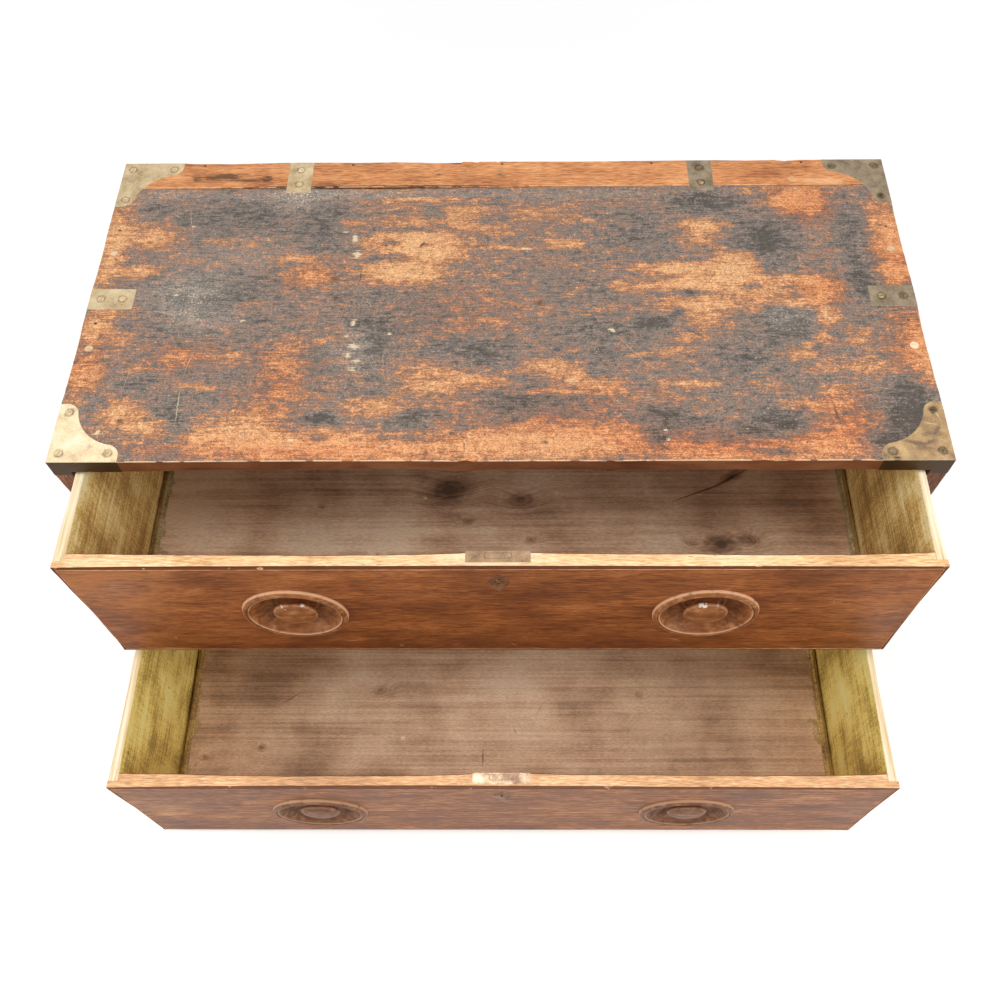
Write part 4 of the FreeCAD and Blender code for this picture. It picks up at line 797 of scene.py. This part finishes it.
def round_off(bm, edges, width):
    """Takes edges off to a width in mm."""
    bmesh.ops.bevel(bm, geom=edges, offset=width * MM, offset_type="OFFSET", segments=2,
                    profile=0.5, affect="EDGES", material=-1, clamp_overlap=False)


def start_from(node):
    """A copy of a node's mesh, with its doubles merged and its flat faces whole."""
    bm = bmesh.new()
    bm.from_mesh(NODES[node].data)
    bmesh.ops.remove_doubles(bm, verts=bm.verts, dist=1e-6)
    bmesh.ops.dissolve_limit(bm, angle_limit=math.radians(1), verts=bm.verts, edges=bm.edges)
    return bm


def keep(bm, name, node, finish=None, smooth=None):
    """Makes the mesh a piece that stands for a node, moves with its body and wears its finish."""
    bmesh.ops.recalc_face_normals(bm, faces=bm.faces)
    mesh = mesh_of(bm, name)
    if smooth:
        mesh.shade_smooth()
        mesh.set_sharp_from_angle(angle=math.radians(smooth))
    mesh.materials.append(finish or finish_of(node))
    piece = put_in_scene(name, mesh)
    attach(piece, BODY_OF[node])
    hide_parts(node)


def box_arrises(bm, wanted):
    """The edges over 10 mm long on two sides of the mesh's own box, one of them wanted."""
    box = {}
    for axis, names in enumerate((("left", "right"), ("front", "back"), ("foot", "top"))):
        places = [vert.co[axis] for vert in bm.verts]
        for name, pick in zip(names, (min, max)):
            box[name] = axis, pick(places)
    found = []
    for edge in bm.edges:
        sides = {name for name, (axis, level) in box.items()
                 if all(abs(vert.co[axis] - level) < 0.05 * MM for vert in edge.verts)}
        if len(sides) >= 2 and sides & wanted and edge.calc_length() > 10 * MM:
            found.append(edge)
    return found


def ease(bm, arrises, width, wander):
    """Breaks arrises a little unevenly, in steps of 8 mm, as years of handling leave them."""
    pieces = []
    for edge in arrises:
        start = edge.verts[0]
        inward = -sum((face.normal for face in edge.link_faces), Vector()).normalized()
        count = max(1, int(edge.calc_length() / (8 * MM)))
        for left in range(count, 1, -1):
            part, start = bmesh.utils.edge_split(edge, start, 1 / left)
            dip = noise.noise(start.co * 45) + 0.6 * noise.noise(start.co * 160)
            start.co += inward * max(0.0, 0.35 + dip) * wander * MM
            pieces.append(part)
        pieces.append(edge)
    round_off(bm, pieces, width)


def sink_top(bm, by):
    """Lowers the faces that are level with the top, so that heads and pellets stand proud."""
    for vert in bm.verts:
        if vert.co.z > TOP_LEVEL - 0.05 * MM:
            vert.co.z -= by * MM


def worn_board(node, wanted, width=0.9, wander=0.35, chips=None):
    """A board whose arrises on the wanted sides, given as words, are broken by use."""
    bm = start_from(node)
    if chips:
        nick(bm, *chips)
    ease(bm, box_arrises(bm, set(wanted.split())), width, wander)
    sink_top(bm, WOOD_SUNK)
    keep(bm, node + "_worn", node)


def depth_along(profile, at):
    """The depth at a place, on straight runs between points of position and depth."""
    for (x0, d0), (x1, d1) in zip(profile, profile[1:]):
        if x0 <= at <= x1:
            return d0 + (d1 - d0) * (at - x0) / (x1 - x0)
    return 0.0


def nick(bm, profile, side):
    """Pushes in a board's upper edge, at its front (side -1) or back (1), to a profile."""
    for x, depth in profile:
        cut(bm, (x * MM, 0.0, 0.0), (1.0, 0.0, 0.0))
    outmost = max(vert.co.y * side for vert in bm.verts)
    high = max(vert.co.z for vert in bm.verts)
    for vert in bm.verts:
        if vert.co.y * side > outmost - 0.1 * MM and vert.co.z > high - 0.6 * MM:
            vert.co.y -= side * depth_along(profile, vert.co.x / MM) * MM


# Position along the edge and depth in mm: the strip's splits and the front edge's nicks.
STRIP_CHIPS = [(-132, 0), (-118, .6), (-101, 1.1), (-86, 1.8), (-70, 2.4), (-58, 3.2), (-50, 3.5),
               (-48, .2), (-36, 0), (-33, 1.1), (-29, 1.3), (-27, 0), (-8, 0), (-5, .9), (-2, 0),
               (326, 0), (331, .9), (337, 1.5), (341, 2.9), (344, 1.4), (350, 1.1), (358, 0)]
FRONT_NICKS = [(-41, 0), (-37, .8), (-33, 1.4), (-29, .5), (-26, 0), (108, 0), (112, .7),
               (117, 0), (262, 0), (266, .8), (271, .3), (276, 0)]


def worn_plate(node):
    """A brass plate with its edges filed off and rubbed."""
    bm = start_from(node)
    sharp = [edge for edge in bm.edges
             if edge.is_manifold and edge.is_convex and edge.calc_face_angle() > 0.6
             and max(face.normal.z for face in edge.link_faces) > 0.9
             and min(vert.co.z for vert in edge.verts) > TOP_LEVEL - 0.1 * MM]
    round_off(bm, sharp, 0.4)
    sink_top(bm, BRASS_SUNK)
    keep(bm, node + "_filed", node)


def turned(bm, profile, centre):
    """Turns a profile of radius and rise in mm on the lathe, its axis towards the front."""
    verts = [bm.verts.new(Vector(centre) * MM + Vector((radius, -rise, 0.0)) * MM)
             for radius, rise in profile]
    edges = [bm.edges.new(pair) for pair in zip(verts, verts[1:])]
    bmesh.ops.spin(bm, geom=verts + edges, cent=Vector(centre) * MM, axis=(0.0, 1.0, 0.0),
                   angle=math.tau, steps=96, use_merge=True, use_duplicate=False)
    bmesh.ops.remove_doubles(bm, verts=bm.verts, dist=1e-6)


# Profiles for the lathe: radius, and rise from the drawer's face, in mm.
CUP = [(0, -17), (56, -17), (56, 0), (55.7, 1.8), (55, 3.4), (54, 4.6), (52.8, 5.3),
       (51.6, 5.5), (50.8, 5.1), (50.3, 4.4), (49.9, 4.5), (49.4, 4.9), (48.8, 4.8), (48.2, 4.1),
       (46.5, 0.9), (44.5, -2.4), (42, -5.6), (39, -8.4), (35.5, -10.7), (31, -12), (0, -12)]
KNOB = [(0, 6.5), (6, 6.45), (12, 6.1), (16.5, 5.3), (20, 3.9), (22.3, 2.3), (23.3, 1.1),
        (23.5, 0.3), (23.2, -0.6), (22.2, -1.4), (20, -2.4), (17.6, -3.6), (16, -5), (15.5, -6.5),
        (15.6, -9), (16.4, -10.8), (18, -11.9), (0, -11.9)]


def turned_pair(node, profile, front, level):
    """A pair of turned pieces, one each side of the lock."""
    bm = bmesh.new()
    for side in (-PULL_OUT, PULL_OUT):
        turned(bm, profile, (side, front, level))
    keep(bm, node + "_turned", node, smooth=28)


def slotted_head(radius, turn):
    """One countersunk head with a sawn slot, its face up at height 0."""
    tall, half_slot, slot_depth = 1.4, 0.45, 0.8
    bm = bmesh.new()
    bmesh.ops.create_cone(bm, cap_ends=True, segments=24, radius1=radius * 0.72 * MM,
                          radius2=radius * MM, depth=tall * MM)
    bmesh.ops.translate(bm, verts=bm.verts, vec=(0.0, 0.0, -tall / 2 * MM))
    for across, reach in (((1.0, 0.0, 0.0), half_slot), ((0.0, 1.0, 0.0), radius * 0.86)):
        for side in (-1, 1):
            face = Vector(across) * side
            cut(bm, face * reach * MM, face)
    slot = [face for face in bm.faces if face.normal.z > 0.9
            and abs(face.calc_center_median().x) < 0.2 * MM
            and abs(face.calc_center_median().y) < 0.5 * radius * MM]
    bmesh.ops.inset_individual(bm, faces=slot, thickness=0.0, depth=-slot_depth * MM)
    bmesh.ops.rotate(bm, verts=bm.verts, cent=(0, 0, 0), matrix=Matrix.Rotation(turn, 3, "Z"))
    return bm


def screws(node, places, radius, matrix_of, finish):
    """Screw heads in place of a node; each slot stopped where the screw came tight."""
    bm = bmesh.new()
    draw = random.Random(len(places))
    for place in places:
        head = slotted_head(radius, draw.uniform(0.0, math.pi))
        head.transform(matrix_of(place))
        loose = mesh_of(head, "head")
        bm.from_mesh(loose)
        bpy.data.meshes.remove(loose)
    keep(bm, node + "_slotted", node, finish)


def studs(node, places, radius, rise, segments, crown):
    """Round heads or pellets let into the top at x, y; rise and crown are in mm."""
    bm = bmesh.new()
    draw = random.Random(segments)
    for x, y in places:
        size = radius * draw.uniform(0.92, 1.08)
        low = TOP_LEVEL - (WOOD_SUNK + 1.6) * MM
        high = TOP_LEVEL - (WOOD_SUNK - rise) * MM
        made = bmesh.ops.create_cone(
            bm, cap_ends=True, segments=segments, radius1=size * MM, radius2=size * MM,
            depth=high - low, matrix=Matrix.Translation((x * MM, y * MM, (high + low) / 2)))
        cap = [face for face in bm.faces if face.normal.z > 0.9
               and all(vert in made["verts"] for vert in face.verts)]
        bmesh.ops.inset_individual(bm, faces=cap, thickness=size * 0.35 * MM, depth=crown * MM)
    keep(bm, node + "_heads", node)


# The split in the upper drawer's bottom: x, y and half width in mm.
BOTTOM_SPLIT = [(205, -134, 0.2), (238, -121, 1.1), (262, -112, 1.4), (276, -104, 2.2),
                (302, -88, 1.4), (308, -84, 0.2)]


def split_board(node, line, depth):
    """A board with a shrinkage split in its upper face, along a line and to a depth in mm."""
    bm = start_from(node)
    runs = []
    for (x0, y0, half0), (x1, y1, half1) in zip(line, line[1:]):
        first, last = Vector((x0, y0)), Vector((x1, y1))
        beside = Vector((y0 - y1, x1 - x0)).normalized()
        runs.append((first, last, beside, half0, half1))
        corners = [first - beside * half0, last - beside * half1, last + beside * half1,
                   first + beside * half0]
        for start, end in zip(corners, corners[1:] + corners[:1]):
            way = end - start
            cut(bm, (start.x * MM, start.y * MM, 0.0), (way.y, -way.x, 0.0))
    high = max(vert.co.z for vert in bm.verts)
    inside = []
    for face in bm.faces:
        middle = face.calc_center_median()
        if face.normal.z < 0.9 or middle.z < high - 1e-5:
            continue
        for first, last, beside, half0, half1 in runs:
            from_start = middle.xy / MM - first
            share = from_start.dot(last - first) / (last - first).length_squared
            if 0 < share < 1 and abs(from_start.dot(beside)) < half0 + (half1 - half0) * share:
                inside.append(face)
                break
    bmesh.ops.inset_region(bm, faces=inside, thickness=0.0, depth=-depth * MM)
    keep(bm, node + "_split", node)


# ---- the chest

def dress_case():
    """The boards and brasses of the case."""
    worn_board("top_board", "left right front back", chips=(FRONT_NICKS, -1))
    worn_board("top_rear_strip", "top", width=0.7, wander=0.3, chips=(STRIP_CHIPS, 1))
    for level in FRONTS:
        worn_board("back_board_" + level, "left right front back foot top",
                   width=1.0, wander=0.2)
    for side in ("left", "right"):
        worn_board("side_panel_" + side, side + " front")
    worn_board("drawer_divider", "front", width=0.6, wander=0.25)
    for node in NODES:
        if node.startswith("top_corner") or "strap" in node:
            worn_plate(node)

    screws("brass_screws", SCREWS, 3.7,
           lambda p: Matrix.Translation((p[0] * MM, p[1] * MM, TOP_LEVEL - HEAD_SUNK * MM)),
           BRASS_SCREWS)
    studs("top_nails", NAILS, radius=2.6, rise=-0.15, segments=11, crown=0.08)
    studs("top_plugs", PLUGS, radius=4.6, rise=0.10, segments=28, crown=0.06)


def dress_drawer(level):
    """One drawer's front, sides, pulls and lock."""
    low, high = FRONTS[level]
    worn_board(level + "_drawer_front", "front top")
    for side in ("left", "right"):
        worn_board(f"{level}_drawer_side_{side}", "top", width=1.1, wander=0.4)
        worn_board(f"{level}_drawer_slip_{side}", "top", width=1.4, wander=0.8)
    worn_board(level + "_drawer_back", "top", width=0.9, wander=0.3)
    for pulls, profile in (("cups", CUP), ("knobs", KNOB)):
        turned_pair(f"{level}_pull_{pulls}", profile, low.y, PULL_LEVELS[level])
    if level == "upper":
        split_board("upper_drawer_bottom", BOTTOM_SPLIT, depth=4)
    lock_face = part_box(level + "_lock_case")[1].y + 0.2 * MM
    screws(level + "_lock_screws",
           [(x, high.z - drop) for x, drop in LOCK_SCREWS], 3.5,
           lambda p: Matrix.Translation((p[0] * MM, lock_face, p[1] * MM))
           @ Matrix.Rotation(-math.pi / 2, 4, "X"), BRASS_LOCK_UPPER)


# ---- light, floor and camera

def soft_lamp(name, place, size, power):
    """A large soft lamp that points at the drawers."""
    data = bpy.data.lights.new(name, "AREA")
    data.shape = "RECTANGLE"
    data.size, data.size_y = size
    data.energy = power
    lamp = put_in_scene(name, data)
    lamp.location = place
    lamp.rotation_euler = (Vector(LAMP_AIM) - Vector(place)).to_track_quat("-Z", "Y").to_euler()


def make_studio():
    """A white floor, a plain white surround, a lamp above and one on either side."""
    world = bpy.data.worlds.new("studio")
    bpy.context.scene.world = world
    world.use_nodes = True
    tree = world.node_tree
    tree.nodes.clear()
    rays = add(tree, "LightPath")
    seen = add(tree, "Math", {0: rays["Is Camera Ray"], 1: rays["Is Glossy Ray"]},
               operation="MAXIMUM")[0]
    strength = add(tree, "MapRange", {0: seen, 3: SURROUND_LIGHT})[0]
    surround = add(tree, "Background", {"Color": srgb("FFFFFF"), "Strength": strength})[0]
    add(tree, "OutputWorld", {"Surface": surround})

    bm = bmesh.new()
    bmesh.ops.create_grid(bm, x_segments=1, y_segments=1, size=30.0)
    floor = put_in_scene("floor", mesh_of(bm, "floor"))
    paper, tree, where = open_material("white_studio_floor")
    rays = add(tree, "LightPath")
    away = add(tree, "VectorMath", {0: where}, operation="LENGTH")[1]
    glow = add(tree, "MapRange", {0: away, 1: GLOW_NEAR, 2: GLOW_FAR, 3: GLOW_LEAST}, **SOFT)[0]
    glow = add(tree, "Math", {0: rays["Is Camera Ray"], 1: glow}, operation="MULTIPLY")[0]
    base = add(tree, "BsdfDiffuse", {"Color": srgb("F4F4F4")})[0]
    light = add(tree, "Emission", {"Strength": glow})[0]
    both = add(tree, "AddShader", {0: base, 1: light})[0]
    add(tree, "OutputMaterial", {"Surface": both})
    floor.data.materials.append(paper)
    soft_lamp("overhead_lamp", (0.0, -0.45, 2.3), (2.2, 0.9), 19.0)
    for side in (-1, 1):
        soft_lamp("side_lamp", (2.3 * side, -1.0, 1.5), (1.3, 1.3), 30.0)


def make_camera():
    """The camera, fitted to the chest's corners."""
    data = bpy.data.cameras.new("camera")
    data.lens = 36.872
    data.sensor_width = 36.0
    data.shift_x = -0.01228
    data.shift_y = 0.00285
    camera = put_in_scene("camera", data)
    camera.location = (0.02562, -0.76016, 1.35997)
    camera.rotation_euler = [math.radians(turn) for turn in (29.7742, 0.6351, 0.2129)]
    bpy.context.scene.camera = camera
    bpy.context.scene.view_settings.view_transform = "Standard"


make_studio()
make_camera()

for node, solid in NODES.items():
    solid.data.materials.clear()
    solid.data.materials.append(finish_of(node))

dress_case()
for level in FRONTS:
    dress_drawer(level)
